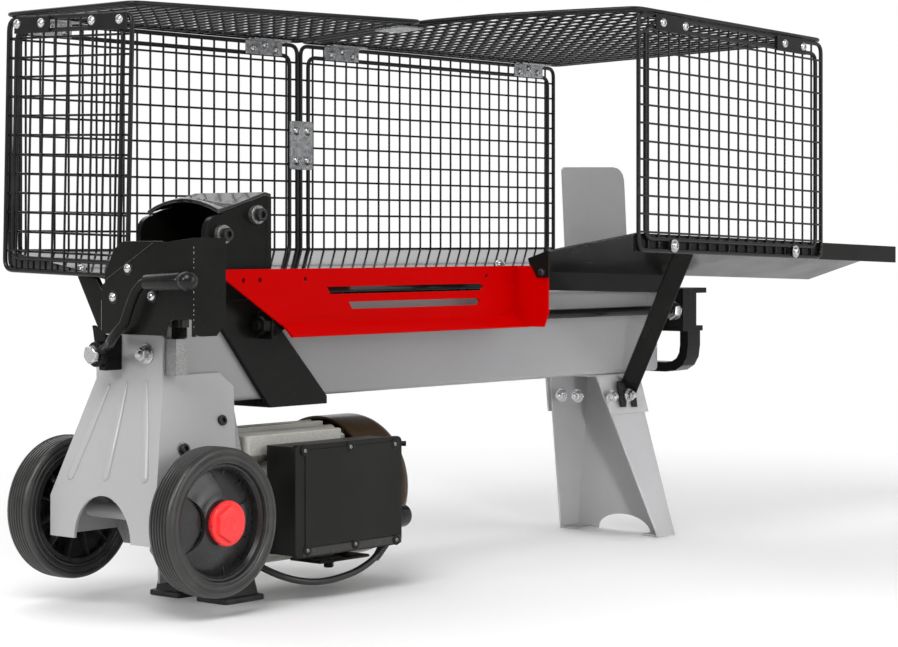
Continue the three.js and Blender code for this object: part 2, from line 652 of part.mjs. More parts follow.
function ramCarriage() {
  const floorTop = beam.underside - slideGap;
  const floor = floorTop - carriage.floorWall;
  const top = pusherFloor - clearance;
  const band = outline([
    [carriage.topRearX, top], [carriage.topRearX, top - 8], [carriage.lowRearX, floor],
    [carriage.lowFrontX - 5, floor], [carriage.lowFrontX, floor + 5], [carriage.lowFrontX, floorTop],
    [carriage.topFrontX, top],
  ]);
  const pieces = [block(carriage.lowRearX, carriage.lowFrontX, -bandOuter, bandOuter, floor, floorTop)];
  for (const side of [-1, 1]) {
    const lugTop = tieHeight + tieRod.nutRadius + 4;
    const lugBottom = tieHeight - tieRod.nutRadius - 4;
    const lug = block(
      carriage.lugX, carriage.lugX + carriage.lugWall,
      side * (bandOuter - 1), side * (tieRod.y + tieRod.nutRadius),
      lugBottom, lugTop);
    const hole = barX(0, 300, side * tieRod.y, tieHeight, tieRod.radius + clearance);
    pieces.push(alongY(band, side * bandInner, side * bandOuter), cut(lug, hole));
  }
  return join(pieces);
}

function tieRodWithNuts(side) {
  const y = side * tieRod.y;
  const lugFar = carriage.lugX + carriage.lugWall + clearance;
  const headFar = crosshead.x + crosshead.web + clearance;
  const nutStarts = [
    carriage.lugX - clearance - tieRod.nutLength, lugFar,
    crosshead.x - clearance - tieRod.nutLength, headFar,
  ];
  const nuts = nutStarts.map((start) => barX(start, start + tieRod.nutLength, y, tieHeight,
    tieRod.nutRadius, 6));
  const rod = barX(nutStarts[0] - 4, headFar + tieRod.nutLength + 4, y, tieHeight, tieRod.radius, 12);
  return join(rod, nuts);
}

/** Height of the underside of the hood sheet. */
function hoodUnderside(x, y) {
  const sideTop = pusherTop - hood.wall + clearance;
  const slope = pusher.valleyDrop / (pusher.faceX - pusher.valleyX);
  const fall = (pusher.faceX - x) * slope;
  const lipStart = pusher.valleyX + 24;
  const lip = THREE.MathUtils.smoothstep(lipStart - x, 0, lipStart - pusher.valleyX + 4);
  const across = y / hood.halfWidth;
  const round = 0.5 * Math.max(x - pusher.faceX + hood.faceRadius, 0);
  return sideTop - fall - round + hood.archHeight * lip * (1 - across * across);
}

function pusherHood() {
  const start = pusher.valleyX - hood.overhang;
  const sheet = new THREE.BoxGeometry(1, 1, 1, hood.columns, 8, 1);
  const position = sheet.attributes.position;
  for (let i = 0; i < position.count; i += 1) {
    const x = start + (position.getX(i) + 0.5) * (pusher.faceX - start);
    const y = position.getY(i) * 2 * hood.halfWidth;
    const raised = position.getZ(i) > 0 ? hood.wall : 0;
    position.setXYZ(i, x, y, hoodUnderside(x, y) + clearance + raised);
  }
  return solid(sheet);
}

function pusherBlock() {
  const wallTop = pusherTop + 20;
  const shoulderZ = pusherFloor + pusher.rearShoulder;
  const side = new THREE.Shape();
  side.moveTo(pusher.rearX, pusherFloor);
  side.lineTo(pusher.faceX, pusherFloor);
  side.lineTo(pusher.faceX, wallTop);
  side.lineTo(pusher.rearX + pusher.rearRadius, wallTop);
  side.lineTo(pusher.rearX + pusher.rearRadius, shoulderZ);
  side.quadraticCurveTo(pusher.rearX, shoulderZ, pusher.rearX, shoulderZ - pusher.rearRadius);
  side.closePath();
  const inner = pusher.sideHalfWidth - pusher.sideWall;
  const pieces = [
    block(pusher.rearX, pusher.faceX, -bandInner - 4, bandInner + 4, pusherFloor,
      pusherFloor + pusher.baseWall),
    block(pusher.faceX - pusher.faceWall, pusher.faceX, -hood.halfWidth, hood.halfWidth, pusherFloor + 1,
      wallTop),
    alongY(side, -pusher.sideHalfWidth, -inner),
    alongY(side, inner, pusher.sideHalfWidth),
  ];
  const spare = 2;
  const columns = hood.columns + 2 * spare;
  const pitch = (pusher.faceX - pusher.valleyX + hood.overhang) / hood.columns;
  const trim = new THREE.BoxGeometry(1, 1, 1, columns, 1, 1);
  const position = trim.attributes.position;
  for (let i = 0; i < position.count; i += 1) {
    const x = pusher.faceX + (position.getX(i) + 0.5) * columns * pitch - (hood.columns + spare) * pitch;
    const z = position.getZ(i) > 0 ? wallTop + 30 : hoodUnderside(Math.min(x, pusher.faceX), hood.halfWidth);
    position.setXYZ(i, x, position.getY(i) * 3 * hood.halfWidth, z);
  }
  return cut(join(pieces), solid(trim));
}

function ramCrosshead() {
  const { x, web, halfWidth, bottom, top, flange, reach, gusset } = crosshead;
  const pieces = [
    block(x, x + web, -halfWidth, halfWidth, bottom, top),
    block(x, x + web + reach - 4, -halfWidth, halfWidth, top - flange, top),
    block(x, x + reach, -halfWidth, halfWidth, bottom, bottom + flange),
  ];
  for (const side of [-1, 1]) {
    pieces.push(block(x, x + web + 17, side * (halfWidth - gusset), side * halfWidth, bottom, top));
  }
  const low = bottom - handle.drop;
  const inner = handle.halfWidth - handle.bar;
  const loop = new THREE.Shape();
  loop.moveTo(-handle.halfWidth, bottom + 2);
  loop.lineTo(-handle.halfWidth, low + handle.cornerRadius);
  loop.quadraticCurveTo(-handle.halfWidth, low, -handle.halfWidth + handle.cornerRadius, low);
  loop.lineTo(handle.halfWidth - handle.cornerRadius, low);
  loop.quadraticCurveTo(handle.halfWidth, low, handle.halfWidth, low + handle.cornerRadius);
  loop.lineTo(handle.halfWidth, bottom + 2);
  loop.lineTo(inner, bottom + 2);
  loop.lineTo(inner, low + handle.cornerRadius);
  loop.quadraticCurveTo(inner, low + handle.bar, handle.halfWidth - handle.cornerRadius, low + handle.bar);
  loop.lineTo(-handle.halfWidth + handle.cornerRadius, low + handle.bar);
  loop.quadraticCurveTo(-inner, low + handle.bar, -inner, low + handle.cornerRadius);
  loop.lineTo(-inner, bottom + 2);
  loop.closePath();
  pieces.push(alongX(loop, handle.startX, handle.startX + handle.width, 4));
  const holes = [-1, 1].map((side) => barX(x - 5, x + web + 5, side * tieRod.y, tieHeight,
    tieRod.radius + clearance));
  holes.push(barX(x - 5, x + web + 5, 0, rodHeight, pistonRod.threadRadius + clearance));
  return cut(join(pieces), holes);
}

// ---------------------------------------------------------------- log tray

function logTray() {
  const { sheet, outerY, bottom, top, leftX, cornerX, rightX, hangerX, hangerBottom } = tray;
  const face = outline([
    [hangerX, hangerBottom], [leftX - 8, hangerBottom], [leftX, top - 7], [cornerX, bottom], [rightX, bottom],
    [rightX, top], [hangerX, top],
  ]);
  for (const { from, to, z } of traySlots) {
    const half = tray.slotHeight / 2;
    face.holes.push(outline([[from, z + half], [from + 5, z - half], [to, z - half], [to + 4, z],
      [to, z + half]]));
  }
  for (const x of trayHoles) {
    const hole = new THREE.Path();
    hole.absarc(x, top - 11, 2.6, 0, 2 * Math.PI, true);
    face.holes.push(hole);
  }
  const lip = outline([
    [outerY, bottom], [outerY + sheet, bottom], [outerY + sheet, bottom + 2], [outerY, bottom + 2],
    [outerY - tray.lipReach, bottom - tray.lipDrop + 2], [outerY - tray.lipReach, bottom - tray.lipDrop],
    [outerY - tray.lipReach + sheet, bottom - tray.lipDrop],
  ]);
  const flange = outline([
    [outerY + sheet, bottom], [outerY + sheet, top], [outerY - tray.flangeReach, top],
    [outerY - tray.flangeReach, bottom + 10], [outerY - tray.flangeReach + 14, bottom - 6], [outerY - 4,
      bottom - 2],
  ]);
  return join(
    alongY(face, outerY, outerY + sheet, 4),
    alongX(lip, cornerX, rightX),
    alongX(flange, rightX - sheet, rightX),
    block(hangerX, hangerX + sheet, outerY, outerY + 26, hangerBottom, top));
}

// ---------------------------------------------------------------- guard plates and control lever

function leverGuard() {
  const face = outline([
    [0, guard.bottom], [0, guard.cornerZ], [guard.shoulderY, guard.shoulderZ], [-guard.width, guard.top],
    [-guard.width, guard.bottom],
  ]);
  const side = new THREE.Shape();
  const end = guard.x + guard.flangeLength;
  side.moveTo(guard.x, guard.top);
  side.lineTo(guard.x, guard.bottom + 11);
  side.quadraticCurveTo(guard.x, guard.bottom, guard.x + 11, guard.bottom);
  side.lineTo(end - 12, guard.bottom);
  side.lineTo(end, guard.bottom + 13);
  side.lineTo(end, guard.top);
  side.closePath();
  const notch = new THREE.Shape();
  const notchEnd = -guard.width + guard.sheet;
  notch.moveTo(guard.notchY, guard.bottom - 1);
  notch.quadraticCurveTo(guard.notchY, guard.notchTop, guard.notchY - 17, guard.notchTop);
  notch.lineTo(notchEnd, guard.notchTop);
  notch.lineTo(notchEnd, guard.bottom - 1);
  notch.closePath();
  return join(
    cut(alongX(face, guard.x, guard.x + guard.sheet), alongX(notch, guard.x - 1, guard.x + guard.sheet + 1,
      6)),
    alongY(side, -guard.width, -guard.width + guard.sheet, 5));
}

function guardCarrier() {
  const x = guard.x + guard.sheet + clearance;
  const floor = beamTop + clearance;
  const face = outline([
    [carrier.innerY, guard.bottom + 4], [carrier.innerY, carrier.top - 31], [carrier.innerY - 10,
      carrier.top - 8],
    [carrier.innerY - 23, carrier.top], [carrier.outerY, carrier.top], [carrier.outerY, guard.bottom + 4],
  ]);
  const plate = alongX(face, x, x + carrier.sheet);
  const shelf = block(x, x + carrier.footLength, carrier.footOuterY, carrier.innerY, floor,
    floor + carrier.sheet);
  return join(plate, shelf);
}

/** Bent plate on the neck of the front leg, which holds the pivot bolt of the lever. */
function leverBracket() {
  const { frontX, sheet, outerY, bottom, top, earY, earTop, lowY } = bracket;
  const face = outline([
    [outerY, bottom], [lowY, bottom], [earY, earTop], [earY - 4, earTop], [outerY, top],
  ]);
  const bore = barX(frontX - 1, frontX + sheet + 1, pivotY, pivotHeight, valveShaft.radius + clearance);
  return cut(join(
    alongX(face, frontX, frontX + sheet),
    block(frontX, leg.faceTopX - clearance, outerY, outerY + sheet, bottom, top)), bore);
}

const armPoints = [
  [-42.6, pivotY - 9.8, pivotHeight + 4.1], [-43.6, 1, 258.3], [-50, -9, 262], [-57, -19, 267], [-60, -30,
    275],
  [-60, -39.5, 283], [-60, -44.5, 293], [-60, -50, 302.5], [-60, -59, 312.6], [-60, -66, 319.4], [-60, -72,
    322.5],
  [-60, -78, 322.82], [-60, -84, 323.03],
];
const gripStart = [-66, 322.4];
const gripDirection = new THREE.Vector3(0, -1, 0.035).normalize();

function controlLever() {
  const path = new THREE.CatmullRomCurve3(armPoints.map((point) => new THREE.Vector3(...point)));
  const section = new THREE.Shape();
  section.absarc(0, 0, lever.rodRadius, 0, 2 * Math.PI, false);
  const arm = solid(new THREE.ExtrudeGeometry(section, { extrudePath: path, steps: 16, curveSegments: 4 }));
  const hubEnd = bracket.frontX - clearance;
  const hubBody = barX(hubEnd - lever.hubLength, hubEnd, pivotY, pivotHeight, lever.hubRadius, 20);
  const bore = barX(hubEnd - lever.hubLength - 5, hubEnd + 5, pivotY, pivotHeight,
    valveShaft.radius + clearance);
  const from = new THREE.Vector3(lever.planeX, ...gripStart).addScaledVector(gripDirection, -3);
  const to = from.clone().addScaledVector(gripDirection, grip.length - 6);
  const core = bar(from.toArray(), to.toArray(), lever.rodRadius, 12);
  return cut(join(arm, hubBody, core), bore);
}

function leverGrip() {
  const from = new THREE.Vector3(lever.planeX, ...gripStart).addScaledVector(gripDirection, 10);
  const end = from.clone().addScaledVector(gripDirection, grip.length);
  const neck = end.clone().addScaledVector(gripDirection, -8);
  const knob = new THREE.SphereGeometry(grip.radius + 1.5, 12, 8).translate(...neck.toArray());
  const boreEnd = from.clone().addScaledVector(gripDirection, grip.length - 19);
  const boreStart = from.clone().addScaledVector(gripDirection, -5);
  const sleeve = join(bar(from.toArray(), neck.toArray(), grip.radius - 0.5, 12, grip.radius), solid(knob));
  return cut(sleeve, bar(boreStart.toArray(), boreEnd.toArray(), lever.rodRadius + clearance, 12));
}

function valveTurningShaft() {
  const hubStart = bracket.frontX - clearance - lever.hubLength;
  const headEnd = hubStart - clearance;
  const face = -clearance - valveBlock.thickness;
  return join(
    barX(headEnd - valveShaft.headLength, headEnd, pivotY, pivotHeight, valveShaft.headRadius, 6),
    barX(headEnd - 1, face + valveShaft.depth, pivotY, pivotHeight, valveShaft.radius));
}

// ---------------------------------------------------------------- tables and their struts

const backSlope = (backTable.outerZ - backTable.innerZ) / (backTable.outerY - tableInnerY);
const wingSlope = (wing.outerZ - wing.innerZ) / (wing.outerY + wingInnerY);

/** How far the wing has drooped at a place along it. */
function sag(x) {
  return sagSlope * (x - wingCorner.outerX);
}

function backTableSheet() {
  const { startX, endX, outerY, innerZ, outerZ, skirt, endFlange } = backTable;
  const t = tableSheet;
  const profile = outline([
    [tableInnerY, tableFlangeBottom], [tableInnerY + t, tableFlangeBottom], [tableInnerY + t, innerZ - t],
    [outerY - t, outerZ - t], [outerY - t, outerZ - skirt], [outerY, outerZ - skirt], [outerY, outerZ],
    [tableInnerY, innerZ],
  ]);
  const tipY = tableInnerY + (outerZ - endFlange - innerZ) / backSlope;
  const end = outline([[tipY, outerZ - endFlange], [outerY, outerZ - endFlange], [outerY, outerZ - 1]]);
  return join(alongX(profile, startX, endX), alongX(end, startX, startX + t));
}

function wingTable() {
  const { outerX, cutX, cutOuterY, cutInnerY, innerX } = wingCorner;
  const t = tableSheet;
  const plan = outline([
    [innerX, wingInnerY], [cutX, -cutInnerY], [cutX, -cutOuterY], [outerX, -wing.outerY],
    [wing.endX, -wing.outerY], [wing.endX, wingInnerY],
  ]);
  const rise = (x, y) => (wingInnerY - y) * wingSlope;
  const sheet = lifted(alongZ(plan, wing.innerZ - t, wing.innerZ), rise);
  const flange = block(innerX, wing.flangeEnd, wingInnerY, wingInnerY + t, tableFlangeBottom,
    wing.innerZ - 0.5);
  const skirt = block(outerX, wing.endX, -wing.outerY, -wing.outerY + t, wing.outerZ - wing.skirt,
    wing.outerZ);
  const tabTop = (y) => wing.innerZ - t / 2 + rise(0, -y);
  const tab = outline([
    [-cutInnerY, tabTop(cutInnerY)], [-cutOuterY, tabTop(cutOuterY)], [-cutOuterY, wingCorner.tabBottom],
    [-cutInnerY - 12, wingCorner.tabBottom],
  ]);
  const body = join(sheet, flange, skirt, alongX(tab, cutX, cutX + t));
  return lifted(body, (x) => -sag(x));
}

/** Pressed channel between two points, its open side turned away from a given direction. */
function channelBar(from, to, facing) {
  const start = new THREE.Vector3(...from);
  const along = new THREE.Vector3(...to).sub(start);
  const length = along.length();
  along.normalize();
  const across = new THREE.Vector3().crossVectors(along, facing).normalize();
  const out = new THREE.Vector3().crossVectors(across, along).normalize();
  const half = strut.width / 2;
  const inner = half - strut.sheet;
  const section = outline([
    [-half, -strut.depth], [-inner, -strut.depth], [-inner, -strut.sheet], [inner, -strut.sheet],
    [inner, -strut.depth], [half, -strut.depth], [half, 0], [-half, 0],
  ]);
  const channel = extrude(section, length);
  return solid(channel.applyMatrix4(new THREE.Matrix4().makeBasis(across, out,
    along)).translate(...start.toArray()));
}

function wingStrutChannel() {
  const low = [wingStrut.lowX, -rearHalfWidth(wingStrut.lowZ) + 6, wingStrut.lowZ - 8];
  const high = [wingStrut.highX, wingStrut.highY - 12, wingStrut.highZ + 14];
  const channel = channelBar(low, high, new THREE.Vector3(-0.75, -0.6, 0));
  const grow = 2 * clearance + saddle.sheet;
  const saddleRoom = frustum(rearSlice(60, grow, 60, 60), rearSlice(saddleTop + 60, grow, 60, 60));
  const under = wing.innerZ - tableSheet - clearance;
  const beyond = 2 * wing.outerY;
  const sheetRoom = outline([
    [0, under], [wingInnerY, under], [-beyond, under + (beyond + wingInnerY) * wingSlope], [-beyond,
      cage.top],
    [0, cage.top],
  ]);
  const ceiling = lifted(alongX(sheetRoom, wingCorner.cutX, wing.endX), (x) => -sag(x));
  const skirtRoom = block(wingCorner.cutX, wing.endX, -beyond, -wing.outerY + tableSheet + clearance, 0,
    cage.top);
  return cut(channel, saddleRoom, ceiling, skirtRoom);
}

function backStrutBar() {
  const { startX, thickness, tableInnerY: inY, tableOuterY: outY, legLowZ, legHighZ, beamZ } = backStrut;
  const level = backTable.innerZ - tableSheet - 2 * clearance;
  const under = (y) => level + (y - tableInnerY - tableSheet) * backSlope;
  const side = (z) => legHalfWidth(Math.min(z, leg.flareTop)) + clearance;
  const shape = outline([
    [inY, under(inY)], [outY, under(outY)], [side(legLowZ), legLowZ], [side(leg.flareTop), leg.flareTop],
    [side(legHighZ), legHighZ], [side(beamZ), beamZ],
  ]);
  return alongX(shape, startX, startX + thickness);
}

// ---------------------------------------------------------------- guard cage

/** Height of the underside of the cage lid: it rises from the back toward its front edge. */
function lidUnderside(x, y) {
  const back = cage.top + clearance;
  const depth = Math.max(backTable.outerY - y, 0);
  if (x <= cage.seamX) {
    const along = (x - backTable.startX) / (cage.seamX - backTable.startX);
    return back + cage.lidSeamRise * Math.max(along, 0) * depth / (backTable.outerY - cage.endInnerY);
  }
  const rise = cage.frontTop - sag(x) - cage.top;
  return back + rise * depth / (backTable.outerY + wing.outerY);
}

/** Two concentric frame rods with a welded square mesh between their sides, drawn flat, 0 to rod thick. */
function wirePanel(corners) {
  const us = corners.map(([u]) => u);
  const vs = corners.map(([, v]) => v);
  const u0 = Math.min(...us);
  const u1 = Math.max(...us);
  const v0 = Math.min(...vs);
  const v1 = Math.max(...vs);
  const columns = Math.max(1, Math.round((u1 - u0) / cage.meshPitch));
  const rows = Math.max(1, Math.round((v1 - v0) / cage.meshPitch));
  const stepU = (u1 - u0) / columns;
  const stepV = (v1 - v0) / rows;
  const half = cage.wire / 2;
  const wires = [];
  for (let i = 1; i < columns; i += 1) {
    const u = u0 + i * stepU;
    wires.push(block(u - half, u + half, v0, v1, 0, cage.rod));
  }
  for (let j = 1; j < rows; j += 1) {
    const v = v0 + j * stepV;
    wires.push(block(u0, u1, v - half, v + half, 0, cage.rod));
  }
  const ring = (distance) => {
    const shape = roundedPolygon(inset(corners, distance), cage.cornerRadius);
    shape.holes.push(roundedPolygon(inset(corners, distance + cage.rod),
      Math.max(cage.cornerRadius - cage.rod, 1)));
    return alongZ(shape, 0, cage.rod, 2);
  };
  const limit = alongZ(roundedPolygon(inset(corners, 1), cage.cornerRadius), 0, cage.rod, 2);
  return join(join(wires).intersect(limit), ring(0), ring(cage.rodSpacing));
}

function rectangle(u0, u1, v0, v1) {
  return [[u0, v0], [u1, v0], [u1, v1], [u0, v1]];
}

/** Turns a flat panel drawn in y and z to stand across X, its inner face at x. */
function standAcrossX(panel, x) {
  const matrix = new THREE.Matrix4().makeBasis(axisY, axisZ, axisX).setPosition(x, 0, 0);
  return solid(geometryOf(panel).applyMatrix4(matrix));
}

/** Turns a flat panel drawn in x and z to stand across Y, its far face at y. */
function standAcrossY(panel, y) {
  const matrix = new THREE.Matrix4().makeBasis(axisX, axisZ, axisY.clone().negate()).setPosition(0, y, 0);
  return solid(geometryOf(panel).applyMatrix4(matrix));
}

function cornerPlates(u0, u1, top, depth) {
  const plates = [[u0 + 8, u0 + 62], [u1 - 62, u1 - 8]];
  return plates.map(([from, to]) => alongZ(roundedRectangle(from, to, top - 24, top, 2), depth - 1,
    depth + 2, 2));
}

function endPanel() {
  const bottom = backTable.outerZ - cage.panelOverlap;
  const right = backTable.outerY;
  const flat = wirePanel(rectangle(cage.endInnerY, right, bottom, cage.top));
  return standAcrossX(flat, panelEndX - cage.rod);
}

function backPanel(x0, x1) {
  const bottom = backTable.outerZ - cage.panelOverlap;
  return standAcrossY(wirePanel(rectangle(x0, x1, bottom, cage.top)), panelBackY + cage.rod);
}

function frontPanel() {
  const top = cage.frontTop;
  const flat = wirePanel(rectangle(wingCorner.outerX, cage.frontEndX, frontPanelBottom, top));
  const body = join(flat, cornerPlates(wingCorner.outerX, cage.frontEndX, top - 1, cage.rod));
  return lifted(standAcrossY(body, panelFrontY), (x) => -sag(x));
}

const lidLeft = panelEndX - cage.rod;
const lidBack = panelBackY + cage.rod;
const lidFront = panelFrontY - cage.rod;

function lidPanel(corners) {
  return lifted(wirePanel(corners), lidUnderside);
}

function lidLeftPanel() {
  return lidPanel(rectangle(lidLeft, cage.seamX - cage.seamGap / 2, cage.endInnerY, lidBack));
}

function lidRightPanel() {
  return lidPanel([
    [cage.seamX + cage.seamGap / 2, cage.endInnerY], [lidCorner.x, lidCorner.y], [wingCorner.outerX,
      lidFront],
    [cage.frontEndX, lidFront], [cage.frontEndX, lidBack], [cage.seamX + cage.seamGap / 2, lidBack],
  ]);
}

function backJoiner() {
  const half = joiner.width / 2;
  const front = panelBackY - clearance;
  const shape = roundedRectangle(cage.seamX - half, cage.seamX + half, joiner.bottom,
    joiner.bottom + joiner.height, 3);
  return alongY(shape, front - joiner.sheet, front, 2);
}

function lidJoiner() {
  const half = joiner.lidLength / 2;
  const seat = (x0, x1) => block(x0, x1, joiner.lidFromY, joiner.lidToY, -clearance - joiner.sheet,
    -clearance);
  const flat = join(seat(cage.seamX - half, cage.seamX), seat(cage.seamX, cage.seamX + half));
  return lifted(flat, (x, y) => {
    const end = cage.seamX + Math.sign(x - cage.seamX) * half;
    return Math.min(lidUnderside(x, y), lidUnderside(end, y));
  });
}

function hingeClamp(start) {
  const front = panelBackY - clearance;
  const end = start + clamp.length;
  const low = cage.top - clamp.leg;
  const upright = block(start, end, front - clamp.sheet, front, low, cage.top);
  const shelf = block(start, end, front - clamp.leg, front, -clearance - clamp.sheet, -clearance);
  return join(upright, lifted(shelf, (x, y) => lidUnderside(x, y)));
}

// ---------------------------------------------------------------- pump, motor and switch box

function pumpHousing() {
  const top = beam.underside - clearance;
  const waist = legHalfWidth(pump.waistZ) - leg.sheet - clearance - 0.5;
  const shoulder = legHalfWidth(top - 4) - leg.sheet - clearance - 0.5;
  const section = outline([
    [-shoulder, top - 4], [-waist, pump.waistZ], [-pump.lowHalfWidth, pump.bottomZ], [pump.lowHalfWidth,
      pump.bottomZ],
    [waist, pump.waistZ], [shoulder, top - 4], [pump.topHalfWidth, top], [-pump.topHalfWidth, top],
  ]);
  const body = alongX(section, pump.startX, pump.endX);
  const neck = barX(pump.endX - 1, pump.flangeX + 1, 0, motor.axisZ, pump.flangeRadius * 0.62);
  const flange = barX(pump.flangeX, motor.startX - clearance, 0, motor.axisZ, pump.flangeRadius, 32);
  const bore = barX(rotor.startX - 5, motor.startX + 1, 0, motor.axisZ, rotor.shaftRadius + rotor.running);
  const axleRoom = bar([0, -100, axleHeight], [0, 100, axleHeight], axle.radius + 6);
  return cut(join(body, neck, flange), bore, axleRoom);
}

function motorHousing() {
  const shape = new THREE.Shape();
  const step = 2 * Math.PI / motor.finCount;
  const padAngle = Math.asin(motor.padHalfHeight / motor.coreRadius);
  for (let i = 0; i < motor.finCount; i += 1) {
    const corners = [[-0.2, motor.coreRadius], [-0.14, motor.finRadius], [0.14, motor.finRadius],
      [0.2, motor.coreRadius]];
    for (const [offset, radius] of corners) {
      const angle = (i + offset) * step;
      const fromPad = Math.abs(Math.atan2(Math.sin(angle - Math.PI), Math.cos(angle - Math.PI)));
      const reach = fromPad < padAngle ? motor.coreRadius : radius;
      const y = reach * Math.cos(angle);
      const z = motor.axisZ + reach * Math.sin(angle);
      if (i === 0 && offset === -0.2) shape.moveTo(y, z);
      else shape.lineTo(y, z);
    }
  }
  shape.closePath();
  const bore = new THREE.Path();
  bore.absarc(0, motor.axisZ, motor.boreRadius, 0, 2 * Math.PI, true);
  shape.holes.push(bore);
  const padFace = switchBox.backY + clearance;
  const pad = block(
    switchBox.startX + 8, fanCover.startX - 8, padFace, -motor.coreRadius * 0.75,
    motor.axisZ - motor.padHalfHeight, motor.axisZ + motor.padHalfHeight);
  return join(alongX(shape, motor.startX, motor.endX, 16), pad);
}

function coolingFanCover() {
  const inner = motor.finRadius + fanCover.fit;
  const outer = inner + fanCover.wall;
  const { startX, endX, wall, edgeRadius } = fanCover;
  const profile = [
    [0, endX - wall], [inner - edgeRadius, endX - wall], [inner, endX - edgeRadius - wall], [inner, startX],
    [outer, startX], [outer, endX - edgeRadius], [outer - edgeRadius * 0.3, endX - edgeRadius * 0.3],
    [outer - edgeRadius, endX], [0, endX],
  ];
  const cup = turned(profile, 'x', [0, 0, motor.axisZ], 24);
  const holes = [];
  for (let i = 0; i < fanCover.holeCount; i += 1) {
    const angle = i * 2 * Math.PI / fanCover.holeCount;
    const y = fanCover.holeCircle * Math.cos(angle);
    const z = motor.axisZ + fanCover.holeCircle * Math.sin(angle);
    holes.push(barX(endX - 10, endX + 5, y, z, fanCover.holeRadius, 8));
  }
  return cut(cup, holes);
}

function motorRotor() {
  const core = motor.boreRadius - rotor.running;
  return join(
    barX(rotor.startX, rotor.endX, 0, motor.axisZ, rotor.shaftRadius),
    barX(rotor.coreStart, rotor.coreStart + rotor.coreLength, 0, motor.axisZ, core, 32));
}

function coolingFan() {
  const end = fan.startX + fan.length;
  const pieces = [barX(fan.startX, end, 0, motor.axisZ, fan.hubRadius)];
  for (let i = 0; i < fan.bladeCount; i += 1) {
    const blade = new THREE.BoxGeometry(fan.length - 4, fan.radius - fan.hubRadius + 2, fan.bladeWall);
    blade.rotateY(0.35).translate((fan.startX + end) / 2, (fan.radius + fan.hubRadius) / 2 - 1, 0);
    blade.rotateX(i * 2 * Math.PI / fan.bladeCount).translate(0, 0, motor.axisZ);
    pieces.push(solid(blade));
  }
  return cut(join(pieces), barX(fan.startX - 5, end + 5, 0, motor.axisZ, rotor.shaftRadius + clearance));
}

function switchBoxShell() {
  const { startX, endX, backY, depth, bottom, top, wall, corner } = switchBox;
  const outer = alongY(roundedRectangle(startX, endX, bottom, top, corner), backY, backY - depth, 3);
  const inner = alongY(
    roundedRectangle(startX + wall, endX - wall, bottom + wall, top - wall, corner - wall + 1),
    backY - wall, backY - depth - 1, 3);
  const fanRoom = barX(fanCover.startX - clearance, fanCover.endX, 0, motor.axisZ,
    motor.finRadius + fanCover.fit + fanCover.wall + clearance, 48);
  const innerFloor = barX(fanCover.startX - clearance - wall, fanCover.endX, 0, motor.axisZ,
    motor.finRadius + fanCover.fit + fanCover.wall + clearance + wall, 48);
  const stemHole = barX(endX - 20, endX + 5, button.y, button.z, button.stemRadius + clearance, 16);
  return cut(outer, cut(inner, innerFloor), fanRoom, stemHole);
}

function switchBoxCover() {
  const { startX, endX, backY, depth, bottom, top, corner } = switchBox;
  const back = backY - depth - clearance;
  const grow = boxCover.overhang;
  const inset0 = boxCover.panelInset;
  const plate = alongY(
    roundedRectangle(startX - grow, endX + grow, bottom - grow, top + grow,
      corner), back, back - boxCover.thickness, 3);
  const panel = alongY(
    roundedRectangle(startX + inset0, endX - inset0 / 2, bottom + inset0, top - inset0, 3),
    back - boxCover.thickness + 1, back - boxCover.thickness - boxCover.panelRise, 2);
  return join(plate, panel);
}

function startButton() {
  const { endX } = switchBox;
  const capStart = endX + button.travel + clearance;
  const profile = [
    [0, capStart], [button.radius, capStart], [button.radius, capStart + button.length * 0.6],
    [button.radius * 0.85, capStart + button.length * 0.85], [button.radius * 0.5, capStart + button.length],
    [0, capStart + button.length],
  ];
  const cap = turned(profile, 'x', [0, button.y, button.z], 16);
  return join(cap, barX(endX - switchBox.wall - 5, capStart + 1, button.y, button.z, button.stemRadius, 16));
}

function motorLead() {
  const rim = pump.flangeRadius + clearance;
  const diagonal = rim * Math.SQRT1_2;
  const landingX = (pump.flangeX + motor.startX) / 2;
  const route = [
    new THREE.Vector3(lead.exitX, lead.exitY, switchBox.bottom - 2 * clearance),
    new THREE.Vector3(lead.exitX, lead.exitY, 40),
    new THREE.Vector3(232, -99, 27),
    new THREE.Vector3(200, -98, 15),
    new THREE.Vector3(160, -96, 11),
    new THREE.Vector3(124, -88, 17),
    new THREE.Vector3(103, -74, 27),
    new THREE.Vector3(landingX + 1, -diagonal - 9, motor.axisZ - diagonal - 9),
    new THREE.Vector3(landingX, -diagonal, motor.axisZ - diagonal),
  ];
  const section = new THREE.Shape();
  section.absarc(0, 0, lead.radius, 0, 2 * Math.PI, false);
  const path = new THREE.CatmullRomCurve3(route, false, 'centripetal');
  return solid(new THREE.ExtrudeGeometry(section, { extrudePath: path, steps: 24, curveSegments: 4 }));
}

// ---------------------------------------------------------------- the assembly

add('oil_tank_beam', oilTankBeam(), 'greyPaint');
add('beam_end_cap', beamEndCap(), 'greyPaint');
add('hydraulic_cylinder', hydraulicCylinder(), 'steel');
add('valve_block', frontValveBlock(), 'castMetal');
add('air_bleed_knob', airBleedKnob(), 'blackPlastic');

add('front_leg', frontLeg(), 'greyPaint');
add('wheel_axle', wheelAxle(), 'steel');
add('foot_stand', footStand(), 'greyPaint');
add('rubber_foot_near', rubberFoot(-1), 'rubber');
add('rubber_foot_far', rubberFoot(1), 'rubber');
for (const [side, place] of [[-1, 'near'], [1, 'far']]) {
  add(`tyre_${place}`, tyreRing(side), 'rubber');
  add(`wheel_hub_${place}`, wheelHub(side), 'blackPlastic');
  add(`hub_cap_${place}`, wheelCap(side), 'redPlastic');
}

